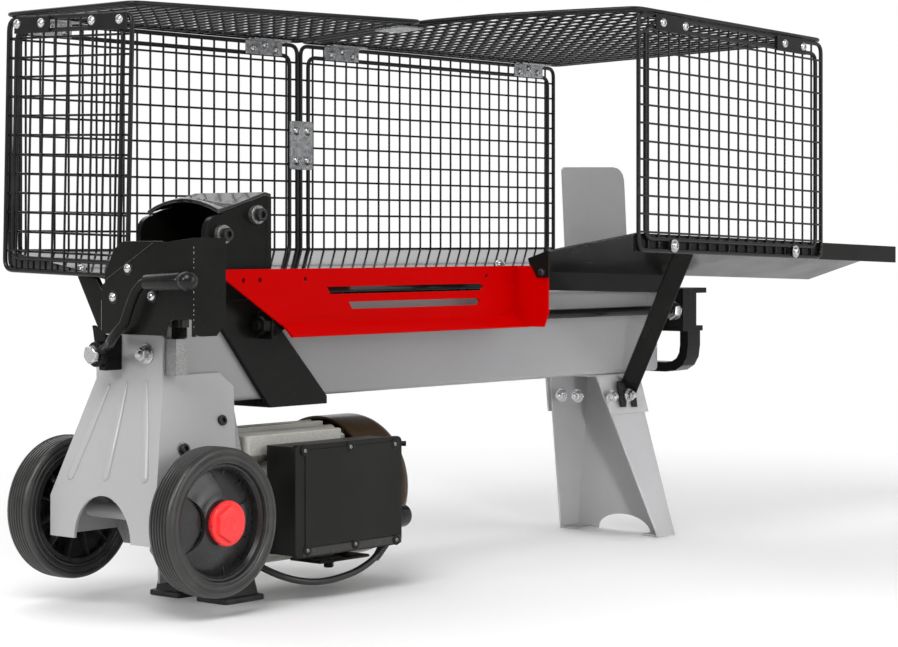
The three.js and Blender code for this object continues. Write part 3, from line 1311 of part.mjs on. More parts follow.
add('rear_leg', rearLegSheet(), 'greyPaint');
add('rear_leg_saddle', rearSaddle(), 'greyPaint');
add('splitting_wedge', splittingWedge(), 'greyPaint');

add('piston', pistonHead(), 'steel');
add('piston_rod', ramRod(), 'steel');
add('ram_crosshead', ramCrosshead(), 'blackPaint');
add('tie_rod_near', tieRodWithNuts(-1), 'blackPaint');
add('tie_rod_far', tieRodWithNuts(1), 'blackPaint');
add('ram_carriage', ramCarriage(), 'blackPaint');
add('pusher_block', pusherBlock(), 'blackPaint');
add('pusher_hood', pusherHood(), 'blackPaint');

add('log_tray', logTray(), 'redPaint');
add('lever_guard', leverGuard(), 'blackPaint');
add('guard_carrier', guardCarrier(), 'blackPaint');
add('lever_bracket', leverBracket(), 'blackPaint');
add('control_lever', controlLever(), 'blackPaint');
add('lever_grip', leverGrip(), 'blackPlastic');
add('valve_shaft', valveTurningShaft(), 'steel');

add('back_table', backTableSheet(), 'blackPaint');
add('wing_table', wingTable(), 'blackPaint');
add('wing_strut', wingStrutChannel(), 'blackPaint');
add('back_strut', backStrutBar(), 'blackPaint');

add('cage_end_panel', endPanel(), 'blackPaint');
add('cage_back_left_panel', backPanel(backTable.startX, cage.seamX - cage.seamGap / 2), 'blackPaint');
add('cage_back_right_panel', backPanel(cage.seamX + cage.seamGap / 2, backTable.endX), 'blackPaint');
add('cage_lid_left_panel', lidLeftPanel(), 'blackPaint');
add('cage_lid_right_panel', lidRightPanel(), 'blackPaint');
add('cage_front_panel', frontPanel(), 'blackPaint');
add('back_joiner_plate', backJoiner(), 'steel');
add('lid_joiner_plate', lidJoiner(), 'steel');
clampStarts.forEach((start, i) => add(`hinge_clamp_${i + 1}`, hingeClamp(start), 'steel'));

add('pump_housing', pumpHousing(), 'castMetal');
add('motor_housing', motorHousing(), 'aluminium');
add('motor_rotor', motorRotor(), 'steel');
add('cooling_fan', coolingFan(), 'blackPlastic');
add('fan_cover', coolingFanCover(), 'blackPlastic');
add('switch_box', switchBoxShell(), 'blackPlastic');
add('switch_box_cover', switchBoxCover(), 'blackPlastic');
add('start_button', startButton(), 'blackPlastic');
add('motor_lead', motorLead(), 'rubber');

const bounds = new THREE.Box3().setFromObject(splitter);
const middle = bounds.getCenter(new THREE.Vector3());
splitter.position.set(-middle.x, -middle.y, -bounds.min.z);

export default splitter;
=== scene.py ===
import json
import math
import random

import bmesh
import bpy
from mathutils import Matrix, Vector

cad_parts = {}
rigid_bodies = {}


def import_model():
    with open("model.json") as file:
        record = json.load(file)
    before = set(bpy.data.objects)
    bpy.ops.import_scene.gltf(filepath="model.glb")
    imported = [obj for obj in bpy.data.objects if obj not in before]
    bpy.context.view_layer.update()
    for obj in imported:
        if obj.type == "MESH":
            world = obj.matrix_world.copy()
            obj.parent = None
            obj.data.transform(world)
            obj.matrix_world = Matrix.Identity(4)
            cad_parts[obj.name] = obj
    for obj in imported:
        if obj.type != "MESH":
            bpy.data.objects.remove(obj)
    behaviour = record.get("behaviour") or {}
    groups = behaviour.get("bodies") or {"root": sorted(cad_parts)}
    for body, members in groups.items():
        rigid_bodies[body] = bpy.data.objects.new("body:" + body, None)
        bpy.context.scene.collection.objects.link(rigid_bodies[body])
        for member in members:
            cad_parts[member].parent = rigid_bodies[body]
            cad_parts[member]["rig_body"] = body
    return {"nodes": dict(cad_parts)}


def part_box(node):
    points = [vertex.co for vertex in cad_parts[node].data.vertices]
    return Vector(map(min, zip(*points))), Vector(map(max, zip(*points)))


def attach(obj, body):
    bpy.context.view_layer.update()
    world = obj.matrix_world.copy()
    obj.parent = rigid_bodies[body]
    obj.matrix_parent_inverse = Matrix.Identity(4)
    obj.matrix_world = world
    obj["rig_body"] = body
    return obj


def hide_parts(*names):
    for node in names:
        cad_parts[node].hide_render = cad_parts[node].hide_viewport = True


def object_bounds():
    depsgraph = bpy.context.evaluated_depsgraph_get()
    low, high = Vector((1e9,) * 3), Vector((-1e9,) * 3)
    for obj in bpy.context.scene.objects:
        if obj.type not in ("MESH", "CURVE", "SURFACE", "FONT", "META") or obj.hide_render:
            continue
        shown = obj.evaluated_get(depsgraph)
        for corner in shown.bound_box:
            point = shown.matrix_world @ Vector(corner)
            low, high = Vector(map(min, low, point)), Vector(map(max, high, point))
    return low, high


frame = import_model()
nodes = frame["nodes"]
cadLow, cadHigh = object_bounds()
print("frame loaded:", len(nodes), "nodes")

# Everything is placed from the wheel axle (x), the middle of the beam (y) and the floor (z), in metres.
axleLow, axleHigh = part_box("wheel_axle")
beamLow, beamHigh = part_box("oil_tank_beam")
axleX = (axleLow.x + axleHigh.x) / 2
axleZ = (axleLow.z + axleHigh.z) / 2
beamY = (beamLow.y + beamHigh.y) / 2


def at(x, y, z):
    return Vector((axleX + x, beamY + y, z))


# Shader nodes

def feed(tree, socket, source):
    if isinstance(source, bpy.types.NodeSocket):
        tree.links.new(source, socket)
    else:
        socket.default_value = source


# Each input is a value or the output of another node
def addNode(tree, kind, inputs=None, operation=None):
    node = tree.nodes.new("ShaderNode" + kind)
    if operation:
        node.operation = operation
    for key, source in (inputs or {}).items():
        feed(tree, node.inputs[key], source)
    return node


def spread(tree, value, low, high, toLow, toHigh):
    return addNode(tree, "MapRange", {
        "Value": value, "From Min": low, "From Max": high, "To Min": toLow, "To Max": toHigh}).outputs["Result"]


def mixShaders(tree, share, first, second, output):
    mix = addNode(tree, "MixShader", {0: share, 1: first, 2: second})
    tree.links.new(mix.outputs["Shader"], tree.nodes[output].inputs["Surface"])


# Camera, light and floor

cameraSettings = {"place": (-1.573, -1.739, 0.363), "view": (0.7615, 0.648, 0.0), "lens": 94.3, "shiftDown": 0.093}
roomSettings = {"backdrop": 1.0, "facing": 0.34, "behind": 0.95, "turnFrom": -0.3, "turnTo": 0.7}
lamps = {
    "key": {"place": (-1.5, -0.9, 2.3), "size": 1.5, "power": 50},
    "fill": {"place": (1.2, -2.8, 1.5), "size": 2.0, "power": 30},
    "back": {"place": (0.8, 1.9, 2.2), "size": 2.2, "power": 30},
    "low": {"place": (0.35, -2.7, 0.5), "size": 1.4, "power": 8},
    "gleam": {"place": (-1.85, 0.09, 1.05), "size": 0.45, "power": 0.65, "aim": (0, 0, 0.2), "spread": 40},
    "rearLeg": {"place": (-0.9, -2.4, 0.3), "size": 0.25, "power": 0.3, "aim": (0.72, -0.02, 0.06), "spread": 14},
}
floorSettings = {"radius": 14, "shade": 0.93, "roughness": 0.8, "whiteFrom": 0.75, "whiteTo": 1.5}


def placeHolder(name, data, place):
    holder = bpy.data.objects.new(name, data)
    bpy.context.scene.collection.objects.link(holder)
    holder.location = at(*place)
    return holder


def makeCamera():
    camera = bpy.data.cameras.new("camera")
    camera.lens = cameraSettings["lens"]
    camera.sensor_width = 36
    camera.shift_y = -cameraSettings["shiftDown"]
    camera.clip_start = 0.05
    camera.clip_end = 60
    holder = placeHolder("camera", camera, cameraSettings["place"])
    holder.rotation_euler = Vector(cameraSettings["view"]).to_track_quat("-Z", "Y").to_euler()
    bpy.context.scene.camera = holder


# A white room: the camera sees it plain, the object is lit less from the camera's side
def makeWorld():
    world = bpy.data.worlds.new("studio")
    world.use_nodes = True
    tree = world.node_tree
    plain = tree.nodes["Background"]
    plain.inputs["Color"].default_value = (1.0, 1.0, 1.0, 1)
    plain.inputs["Strength"].default_value = roomSettings["backdrop"]
    direction = addNode(tree, "TexCoord").outputs["Generated"]
    along = addNode(tree, "VectorMath", {0: direction, 1: cameraSettings["view"]}, "DOT_PRODUCT").outputs["Value"]
    strength = spread(tree, along, *(roomSettings[k] for k in ("turnFrom", "turnTo", "facing", "behind")))
    lit = addNode(tree, "Background", {"Strength": strength})
    seen = addNode(tree, "LightPath").outputs["Is Camera Ray"]
    mixShaders(tree, seen, lit.outputs["Background"], plain.outputs["Background"], "World Output")
    bpy.context.scene.world = world


def makeLights():
    makeWorld()
    bpy.context.scene.view_settings.view_transform = "Standard"
    middle = (cadLow + cadHigh) / 2
    for name, values in lamps.items():
        lamp = bpy.data.lights.new(name, "AREA")
        lamp.size = values["size"]
        lamp.energy = values["power"]
        lamp.spread = math.radians(values.get("spread", 180))
        holder = placeHolder(name, lamp, values["place"])
        aim = at(*values["aim"]) if "aim" in values else middle
        holder.rotation_euler = (aim - holder.location).to_track_quat("-Z", "Y").to_euler()


# The floor turns into the white of the room a little way from the machine
def makeFloor():
    bm = bmesh.new()
    bmesh.ops.create_circle(bm, cap_ends=True, segments=64, radius=floorSettings["radius"])
    mesh = bpy.data.meshes.new("floor")
    bm.to_mesh(mesh)
    bm.free()
    material = bpy.data.materials.new("paleFloor")
    material.use_nodes = True
    tree = material.node_tree
    shader = tree.nodes["Principled BSDF"]
    shade = floorSettings["shade"]
    shader.inputs["Base Color"].default_value = (shade, shade, shade, 1)
    shader.inputs["Roughness"].default_value = floorSettings["roughness"]
    reach = addNode(tree, "VectorMath", {0: addNode(tree, "TexCoord").outputs["Object"]}, "LENGTH").outputs["Value"]
    share = addNode(tree, "MapRange", {
        "Value": reach, "From Min": floorSettings["whiteFrom"], "From Max": floorSettings["whiteTo"]})
    share.interpolation_type = "SMOOTHSTEP"
    white = addNode(tree, "Emission").outputs["Emission"]
    mixShaders(tree, share.outputs["Result"], shader.outputs["BSDF"], white, "Material Output")
    mesh.materials.append(material)
    floor = bpy.data.objects.new("floor", mesh)
    bpy.context.scene.collection.objects.link(floor)


makeCamera()
makeLights()
makeFloor()
print("camera, lights and floor made")

# Finishes


def groupWith(name, inputs):
    tree = bpy.data.node_groups.new(name, "ShaderNodeTree")
    for label, value in inputs.items():
        kind = "Float" if isinstance(value, float) else "Vector" if len(value) == 3 else "Color"
        socket = tree.interface.new_socket(name=label, in_out="INPUT", socket_type="NodeSocket" + kind)
        socket.default_value = value
    for label, kind in (("Colour", "Color"), ("Roughness", "Float"), ("Normal", "Vector")):
        tree.interface.new_socket(name=label, in_out="OUTPUT", socket_type="NodeSocket" + kind)
    return tree, tree.nodes.new("NodeGroupInput").outputs, addNode(tree, "TexCoord").outputs["Object"]


def closeGroup(tree, colour, roughness, height, depth):
    leave = tree.nodes.new("NodeGroupOutput")
    normal = addNode(tree, "Bump", {"Strength": 1.0, "Distance": depth, "Height": height}).outputs["Normal"]
    for label, source in (("Colour", colour), ("Roughness", roughness), ("Normal", normal)):
        feed(tree, leave.inputs[label], source)
    return tree


def noiseAt(tree, place, scale, detail, roughness=0.5):
    return addNode(tree, "TexNoise", {
        "Vector": place, "Scale": scale, "Detail": detail, "Roughness": roughness}).outputs["Fac"]


def arithmetic(tree, operation, first, second):
    return addNode(tree, "Math", {0: first, 1: second}, operation).outputs["Value"]


# The mix node's colour sockets are its seventh and eighth, and its third output
def mixColour(tree, share, first, second):
    mix = tree.nodes.new("ShaderNodeMix")
    mix.data_type = "RGBA"
    for key, source in (("Factor", share), (6, first), (7, second)):
        feed(tree, mix.inputs[key], source)
    return mix.outputs[2]


def tone(red, green=None, blue=None):
    return (red, red if green is None else green, red if blue is None else blue, 1)


# Sprayed or moulded skin: fine orange peel, slow drift of tone, and a little dust or handling haze
def makeSkinGroup():
    tree, entry, place = groupWith("sprayedSkin", {
        "Colour": tone(0.5), "Haze Colour": tone(0.6), "Haze": 0.1, "Peel Scale": 500.0, "Peel Depth": 0.00005,
        "Drift Scale": 9.0, "Rough Low": 0.3, "Rough High": 0.45,
    })
    peel = noiseAt(tree, place, entry["Peel Scale"], 2.0)
    drift = noiseAt(tree, place, entry["Drift Scale"], 4.0, 0.6)
    specks = noiseAt(tree, place, arithmetic(tree, "MULTIPLY", entry["Peel Scale"], 0.7), 6.0, 0.75)
    cloud = spread(tree, drift, 0.42, 0.7, 0.0, entry["Haze"])
    grit = spread(tree, specks, 0.62, 0.78, 0.0, entry["Haze"])
    share = arithmetic(tree, "MAXIMUM", cloud, grit)
    rough = spread(tree, drift, 0.3, 0.7, entry["Rough Low"], entry["Rough High"])
    return closeGroup(tree, mixColour(tree, share, entry["Colour"], entry["Haze Colour"]), rough, peel,
                      entry["Peel Depth"])


# Sand-cast or galvanised metal: grains with their own tone, over pitted metal
def makeGrainGroup():
    tree, entry, place = groupWith("grainyMetal", {
        "Dark": tone(0.3), "Light": tone(0.6), "Grain Scale": 300.0, "Pit Scale": 900.0, "Pit Depth": 0.0001,
        "Rough Low": 0.3, "Rough High": 0.6,
    })
    cells = addNode(tree, "TexVoronoi", {"Vector": place, "Scale": entry["Grain Scale"]})
    grain = addNode(tree, "SeparateColor", {"Color": cells.outputs["Color"]}).outputs
    pits = noiseAt(tree, place, entry["Pit Scale"], 5.0, 0.65)
    share = arithmetic(tree, "MULTIPLY", grain["Red"], spread(tree, pits, 0.35, 0.65, 0.5, 1.0))
    rough = spread(tree, grain["Green"], 0.0, 1.0, entry["Rough Low"], entry["Rough High"])
    return closeGroup(tree, mixColour(tree, share, entry["Dark"], entry["Light"]), rough, pits, entry["Pit Depth"])


# Machined or drawn steel: streaks along one direction
def makeStreakGroup():
    tree, entry, place = groupWith("drawnSteel", {
        "Dark": tone(0.35), "Light": tone(0.75), "Stretch": (20.0, 900.0, 900.0), "Depth": 0.00002,
        "Rough Low": 0.2, "Rough High": 0.4,
    })
    stretched = addNode(tree, "VectorMath", {0: place, 1: entry["Stretch"]}, "MULTIPLY").outputs["Vector"]
    streaks = noiseAt(tree, stretched, 1.0, 4.0)
    share = spread(tree, streaks, 0.3, 0.7, 0.0, 1.0)
    rough = spread(tree, share, 0.0, 1.0, entry["Rough Low"], entry["Rough High"])
    return closeGroup(tree, mixColour(tree, share, entry["Dark"], entry["Light"]), rough, streaks, entry["Depth"])


def materialFrom(name, group, values, metallic=0.0, coat=0.0, coatRoughness=0.03, specular=0.5):
    material = bpy.data.materials.new(name)
    material.use_nodes = True
    tree = material.node_tree
    skin = tree.nodes.new("ShaderNodeGroup")
    skin.node_tree = group
    for label, value in values.items():
        skin.inputs[label].default_value = value
    shader = tree.nodes["Principled BSDF"].inputs
    for label, source in (
            ("Base Color", skin.outputs["Colour"]), ("Roughness", skin.outputs["Roughness"]),
            ("Normal", skin.outputs["Normal"]), ("Metallic", metallic), ("Coat Weight", coat),
            ("Coat Roughness", coatRoughness), ("Specular IOR Level", specular)):
        feed(tree, shader[label], source)
    return material


skinLabels = ("Colour", "Haze Colour", "Haze", "Peel Scale", "Peel Depth", "Drift Scale", "Rough Low", "Rough High")
skinFinishes = {
    "greyPaint": (tone(0.375, 0.375, 0.38), tone(0.43, 0.43, 0.432), 0.4, 420.0, 0.00004, 7.0, 0.34, 0.44,
                  {"specular": 0.4, "coat": 0.35, "coatRoughness": 0.14}),
    # The beam's grey is a darker copy of the frame's grey paint: painted shade on the beam
    "beamShadedGrey": (tone(0.26, 0.26, 0.265), tone(0.3, 0.3, 0.302), 0.4, 420.0, 0.00004, 5.0, 0.34, 0.44,
                  {"specular": 0.4, "coat": 0.3, "coatRoughness": 0.14}),
    "blackPaint": (tone(0.0055, 0.0055, 0.005), tone(0.014, 0.013, 0.0115), 0.35, 380.0, 0.00005, 12.0, 0.18, 0.3,
                   {"specular": 0.14}),
    "tablePaint": (tone(0.008, 0.0076, 0.0072), tone(0.02, 0.019, 0.017), 0.3, 260.0, 0.00001, 10.0, 0.07, 0.13,
                   {"coat": 0.3}),
    "cagePaint": (tone(0.006), tone(0.02), 0.3, 700.0, 0.00004, 30.0, 0.25, 0.38, {"specular": 0.3}),
    "redPaint": (tone(0.465, 0.0, 0.0), tone(0.5, 0.0, 0.0), 0.35, 380.0, 0.00004, 8.0, 0.36, 0.46,
                 {"specular": 0.02}),
    "boxPlastic": (tone(0.0065, 0.0065, 0.0058), tone(0.018, 0.018, 0.0155), 0.35, 1100.0, 0.00009, 14.0, 0.34,
                   0.46, {"specular": 0.2}),
    "hubPlastic": (tone(0.02), tone(0.04), 0.35, 500.0, 0.00004, 40.0, 0.2, 0.32, {"specular": 0.45}),
    "gripPlastic": (tone(0.006, 0.006, 0.0055), tone(0.02, 0.019, 0.017), 0.3, 900.0, 0.00003, 40.0, 0.2, 0.3,
                    {"specular": 0.3}),
    "fanPlastic": (tone(0.034, 0.018, 0.005), tone(0.07, 0.04, 0.012), 0.4, 240.0, 0.00004, 16.0, 0.14, 0.24,
                   {"specular": 0.12, "coat": 0.06}),
    "redPlastic": (tone(0.93, 0.028, 0.03), tone(0.95, 0.07, 0.06), 0.3, 700.0, 0.00004, 60.0, 0.32, 0.42, {}),
    "tyreRubber": (tone(0.024, 0.024, 0.0232), tone(0.058, 0.057, 0.054), 0.6, 900.0, 0.00009, 30.0, 0.28, 0.4, {}),
    "footRubber": (tone(0.014), tone(0.06, 0.058, 0.055), 0.45, 800.0, 0.00012, 40.0, 0.5, 0.65, {}),
    "leadRubber": (tone(0.012), tone(0.05), 0.3, 1500.0, 0.00003, 30.0, 0.35, 0.45, {}),
}
grainLabels = ("Dark", "Light", "Grain Scale", "Pit Scale", "Pit Depth", "Rough Low", "Rough High")
grainFinishes = {
    "castAluminium": (tone(0.2, 0.2, 0.198), tone(0.42, 0.42, 0.415), 1300.0, 1100.0, 0.0003, 0.35, 0.6,
                      {"metallic": 0.85}),
    "motorAluminium": (tone(0.48, 0.468, 0.425), tone(0.6, 0.588, 0.545), 700.0, 500.0, 0.00006, 0.42, 0.55,
                       {"metallic": 0.15}),
    "galvanised": (tone(0.3, 0.31, 0.32), tone(0.62, 0.63, 0.65), 260.0, 900.0, 0.00005, 0.25, 0.45,
                   {"metallic": 0.85}),
    "boltZinc": (tone(0.45, 0.45, 0.46), tone(0.8), 1200.0, 1500.0, 0.00004, 0.18, 0.34, {"metallic": 1.0}),
    "washerSteel": (tone(0.16), tone(0.42, 0.42, 0.41), 1000.0, 1200.0, 0.00008, 0.35, 0.55, {"metallic": 0.9}),
    "blackBolt": (tone(0.012), tone(0.06), 1200.0, 1500.0, 0.00005, 0.3, 0.45, {"metallic": 0.6}),
}
streakLabels = ("Dark", "Light", "Stretch", "Depth", "Rough Low", "Rough High")
streakFinishes = {
    "turnedSteel": (tone(0.3), tone(0.7), (900.0, 40.0, 40.0), 0.00002, 0.22, 0.4, {"metallic": 1.0}),
    "chromeRod": (tone(0.55, 0.55, 0.56), tone(0.85, 0.85, 0.86), (900.0, 30.0, 30.0), 0.000005, 0.08, 0.16,
                  {"metallic": 1.0}),
}
finishes = {}
for group, labels, rows in (
        (makeSkinGroup(), skinLabels, skinFinishes), (makeGrainGroup(), grainLabels, grainFinishes),
        (makeStreakGroup(), streakLabels, streakFinishes)):
    for name, (*values, surface) in rows.items():
        finishes[name] = materialFrom(name, group, dict(zip(labels, values)), **surface)
print("finishes made")

# Making pieces


def meshFrom(name, bm):
    mesh = bpy.data.meshes.new(name)
    bm.to_mesh(mesh)
    return mesh


# A piece stands for the node it names, which it hides
def addPiece(name, bm, finish, node=None, body="frame", angle=30, weighted=False):
    bmesh.ops.recalc_face_normals(bm, faces=bm.faces)
    mesh = meshFrom(name, bm)
    bm.free()
    mesh.materials.append(finishes[finish])
    mesh.polygons.foreach_set("use_smooth", [True] * len(mesh.polygons))
    mesh.set_sharp_from_angle(angle=math.radians(angle))
    piece = bpy.data.objects.new(name, mesh)
    bpy.context.scene.collection.objects.link(piece)
    if weighted:
        piece.modifiers.new("evenNormals", "WEIGHTED_NORMAL").keep_sharp = True
    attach(piece, body)
    if node:
        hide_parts(node)
    return piece


def addBar(bm, start, end, radius, sides=16, endRadius=None):
    along = end - start
    turn = along.to_track_quat("Z", "Y").to_matrix().to_4x4()
    bmesh.ops.create_cone(
        bm, cap_ends=True, segments=sides, radius1=radius, radius2=radius if endRadius is None else endRadius,
        depth=along.length, matrix=Matrix.Translation((start + end) / 2) @ turn)


# Turns a profile of (radius, distance along) about an axis; a closed profile makes a ring
def addTurned(bm, profile, centre, axis, steps=48, closed=False):
    axis = Vector(axis).normalized()
    side = axis.orthogonal().normalized()
    verts = [bm.verts.new(centre + axis * along + side * radius) for radius, along in profile]
    edges = [bm.edges.new(pair) for pair in zip(verts, verts[1:])]
    if closed:
        edges.append(bm.edges.new((verts[-1], verts[0])))
    bmesh.ops.spin(
        bm, geom=verts + edges, cent=centre, axis=axis, dvec=(0, 0, 0), angle=math.tau, steps=steps,
        use_merge=True, use_duplicate=False)
    bmesh.ops.remove_doubles(bm, verts=bm.verts, dist=1e-6)


def turned(profile, centre, axis, steps=48, closed=False):
    bm = bmesh.new()
    addTurned(bm, profile, centre, axis, steps, closed)
    return bm


def addBlock(bm, low, high):
    size = high - low
    bmesh.ops.create_cube(bm, size=1, matrix=Matrix.Translation((low + high) / 2) @ Matrix.Diagonal((*size, 1)))


def bevelEdges(bm, edges, width, segments):
    bmesh.ops.bevel(
        bm, geom=edges, offset=width, offset_type="OFFSET", segments=segments, profile=0.5, affect="EDGES",
        clamp_overlap=True, material=-1)


def bevelSharp(bm, width, segments=2, angle=25):
    limit = math.radians(angle)
    bevelEdges(bm, [e for e in bm.edges if e.is_manifold and e.calc_face_angle(0) > limit], width, segments)


def softBlock(low, high, width, segments=2):
    bm = bmesh.new()
    addBlock(bm, low, high)
    bevelSharp(bm, width, segments)
    return bm


# A merged copy of a CAD node with its flat faces joined
def mergedCopy(node):
    bm = bmesh.new()
    bm.from_mesh(nodes[node].data)
    bmesh.ops.remove_doubles(bm, verts=bm.verts, dist=1e-5)
    bmesh.ops.dissolve_limit(bm, angle_limit=math.radians(0.6), verts=bm.verts, edges=bm.edges)
    return bm


def tubeMesh(bm, points, radius, closed=False, sides=10):
    curve = bpy.data.curves.new("tube", "CURVE")
    curve.dimensions = "3D"
    curve.bevel_depth = radius
    curve.bevel_resolution = max(sides // 2 - 2, 1)
    curve.use_fill_caps = not closed
    line = curve.splines.new("POLY")
    line.points.add(len(points) - 1)
    for target, point in zip(line.points, points):
        target.co = (*point, 1)
    line.use_cyclic_u = closed
    holder = bpy.data.objects.new("tube", curve)
    mesh = bpy.data.meshes.new_from_object(holder)
    bm.from_mesh(mesh)
    bpy.data.objects.remove(holder)
    bpy.data.curves.remove(curve)
    bpy.data.meshes.remove(mesh)


# Cuts one closed shape out of another, which keeps the result
def carve(bm, cutter):
    holders = []
    for shape in (bm, cutter):
        bmesh.ops.recalc_face_normals(shape, faces=shape.faces)
        holders.append(bpy.data.objects.new("carving", meshFrom("carving", shape)))
        bpy.context.scene.collection.objects.link(holders[-1])
    knife = holders[0].modifiers.new("knife", "BOOLEAN")
    knife.operation = "DIFFERENCE"
    knife.solver = "EXACT"
    knife.object = holders[1]
    bpy.context.view_layer.update()
    result = bpy.data.meshes.new_from_object(holders[0].evaluated_get(bpy.context.evaluated_depsgraph_get()))
    bm.clear()
    bm.from_mesh(result)
    cutter.free()
    for holder in holders:
        mesh = holder.data
        bpy.data.objects.remove(holder)
        bpy.data.meshes.remove(mesh)
    bpy.data.meshes.remove(result)


# Adds everything of one bmesh to another and frees it
def join(bm, other):
    bmesh.ops.recalc_face_normals(other, faces=other.faces)
    mesh = meshFrom("joined", other)
    bm.from_mesh(mesh)
    other.free()
    bpy.data.meshes.remove(mesh)


# Extrudes what a bmesh holds and gives back the new vertices
def extruded(bm):
    grown = bmesh.ops.extrude_face_region(bm, geom=bm.faces[:])["geom"]
    return [v for v in grown if isinstance(v, bmesh.types.BMVert)]


# Directions round the Y axis, and the angles of evenly spaced features
def around(turn):
    return Vector((math.cos(turn), 0, math.sin(turn)))


def evenTurns(count, start=0.5):
    return [math.tau * (i + start) / count for i in range(count)]


# Small fastenings

fastening = {
    "washerThickness": 0.002, "hexChamfer": 0.86, "hexStraight": 0.82,
    "domeSocket": 0.42, "capSocket": 0.52,
}

# Hexagon heads: width across flats, height, washer radius
hexes = {
    "motorFoot": (0.0095, 0.0055, 0.0068), "neck": (0.0125, 0.0068, 0), "saddle": (0.0105, 0.0058, 0.0082),
    "crosshead": (0.02, 0.009, 0.0112),
}

# Domed and socket heads: radius, height and, where there is one, washer radius
heads = {
    "box": (0.0023, 0.0016), "plate": (0.0052, 0.0032), "plateLow": (0.0052, 0.0034, 0.0075),
    "guard": (0.0048, 0.0034), "joiner": (0.0052, 0.0034), "clamp": (0.0046, 0.003), "tab": (0.0044, 0.003),
    "table": (0.0062, 0.0036), "pusher": (0.0066, 0.006), "leg": (0.0052, 0.0046),
}


def addHexHead(bm, base, direction, flats, height, washer):
    direction = Vector(direction).normalized()
    foot = base
    if washer:
        thick = fastening["washerThickness"]
        addTurned(bm, [(0, 0), (washer, 0), (washer, thick * 0.8), (washer - thick * 0.2, thick), (0, thick)],
                  base, direction, 28)
        foot = base + direction * thick
    corner = flats / math.sqrt(3)
    known = set(bm.verts)
    waist = foot + direction * height * fastening["hexStraight"]
    addBar(bm, foot, waist, corner, 6)
    addBar(bm, waist, foot + direction * height, corner, 6, corner * fastening["hexChamfer"])
    bmesh.ops.remove_doubles(bm, verts=[v for v in bm.verts if v not in known], dist=1e-6)


def addDomeHead(bm, base, direction, radius, height, washer=0.0):
    socket = radius * fastening["domeSocket"]
    direction = Vector(direction).normalized()
    foot = base
    if washer:
        thick = fastening["washerThickness"] * 0.6
        addTurned(bm, [(0, 0), (washer, 0), (washer, thick), (0, thick)], base, direction, 24)
        foot = base + direction * thick
    addTurned(bm, [
        (0, 0), (radius, 0), (radius, height * 0.15), (radius * 0.93, height * 0.5), (radius * 0.75, height * 0.82),
        (socket * 1.15, height), (socket, height * 0.97), (socket, height * 0.45), (0, height * 0.4),
    ], foot, direction, 18)


def addSocketHead(bm, base, direction, radius, height):
    socket = radius * fastening["capSocket"]
    addTurned(bm, [
        (0, 0), (radius, 0), (radius, height * 0.9), (radius * 0.9, height), (socket, height),
        (socket, height * 0.45), (0, height * 0.45),
    ], base, Vector(direction).normalized(), 24)


# Guard cage: double frame rods and welded 20 mm mesh

cageSizes = {
    "rodRadius": 0.0025, "wireRadius": 0.00125, "pitch": 0.02, "ringStep": 0.013, "cornerRadius": 0.012,
    "longestRod": 0.06, "thickness": 0.005, "sagSlope": 0.0285, "sagStart": 0.569, "seamRise": 0.012,
    "lidFall": 0.022, "seamWidth": 0.0006, "gap": 0.0003, "endPanelTilt": 1.6, "kink": (0.484, -0.052, 0),
}
tableLow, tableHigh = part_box("back_table")
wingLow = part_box("wing_table")[0]
endLow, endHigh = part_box("cage_end_panel")
frontLow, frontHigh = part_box("cage_front_panel")
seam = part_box("cage_back_left_panel")[1]
hang = math.radians(cageSizes["endPanelTilt"])


def atX(x):
    return at(x, 0, 0).x


def atY(y):
    return at(0, y, 0).y


def sag(x):
    return cageSizes["sagSlope"] * (x - cageSizes["sagStart"])


# Each corner of an outline between the one before it and the one after
def cornersOf(outline):
    points = [Vector(corner) for corner in outline]
    return zip(points[-1:] + points[:-1], points, points[1:] + points[:1])


def insetOutline(corners, distance):
    moved = []
    for before, here, after in cornersOf(corners):
        first, second = (here - before).normalized(), (after - here).normalized()
        inFirst = Vector((-first.y, first.x))
        bisector = (inFirst + Vector((-second.y, second.x))).normalized()
        moved.append(here + bisector * distance / bisector.dot(inFirst))
    return moved


def roundedOutline(corners, radius, steps=5):
    points = []
    for before, here, after in cornersOf(corners):
        enter = here + (before - here).normalized() * radius
        leave = here + (after - here).normalized() * radius
        for k in range(steps + 1):
            t = k / steps
            points.append(enter * (1 - t) ** 2 + here * 2 * t * (1 - t) + leave * t * t)
    return points


# Where a line at one height across a convex outline enters and leaves it
def chord(corners, height, across):
    hits = []
    for _, a, b in cornersOf(corners):
        low, high = a[across], b[across]
        if (low - height) * (high - height) < 0:
            hits.append((a + (b - a) * ((height - low) / (high - low)))[1 - across])
    return sorted(hits) if len(hits) == 2 else []


def splitRod(points):
    dense = []
    for a, b in zip(points, points[1:] + points[:1]):
        parts = max(1, math.ceil((b - a).length / cageSizes["longestRod"]))
        dense.extend(a + (b - a) * k / parts for k in range(parts))
    return dense


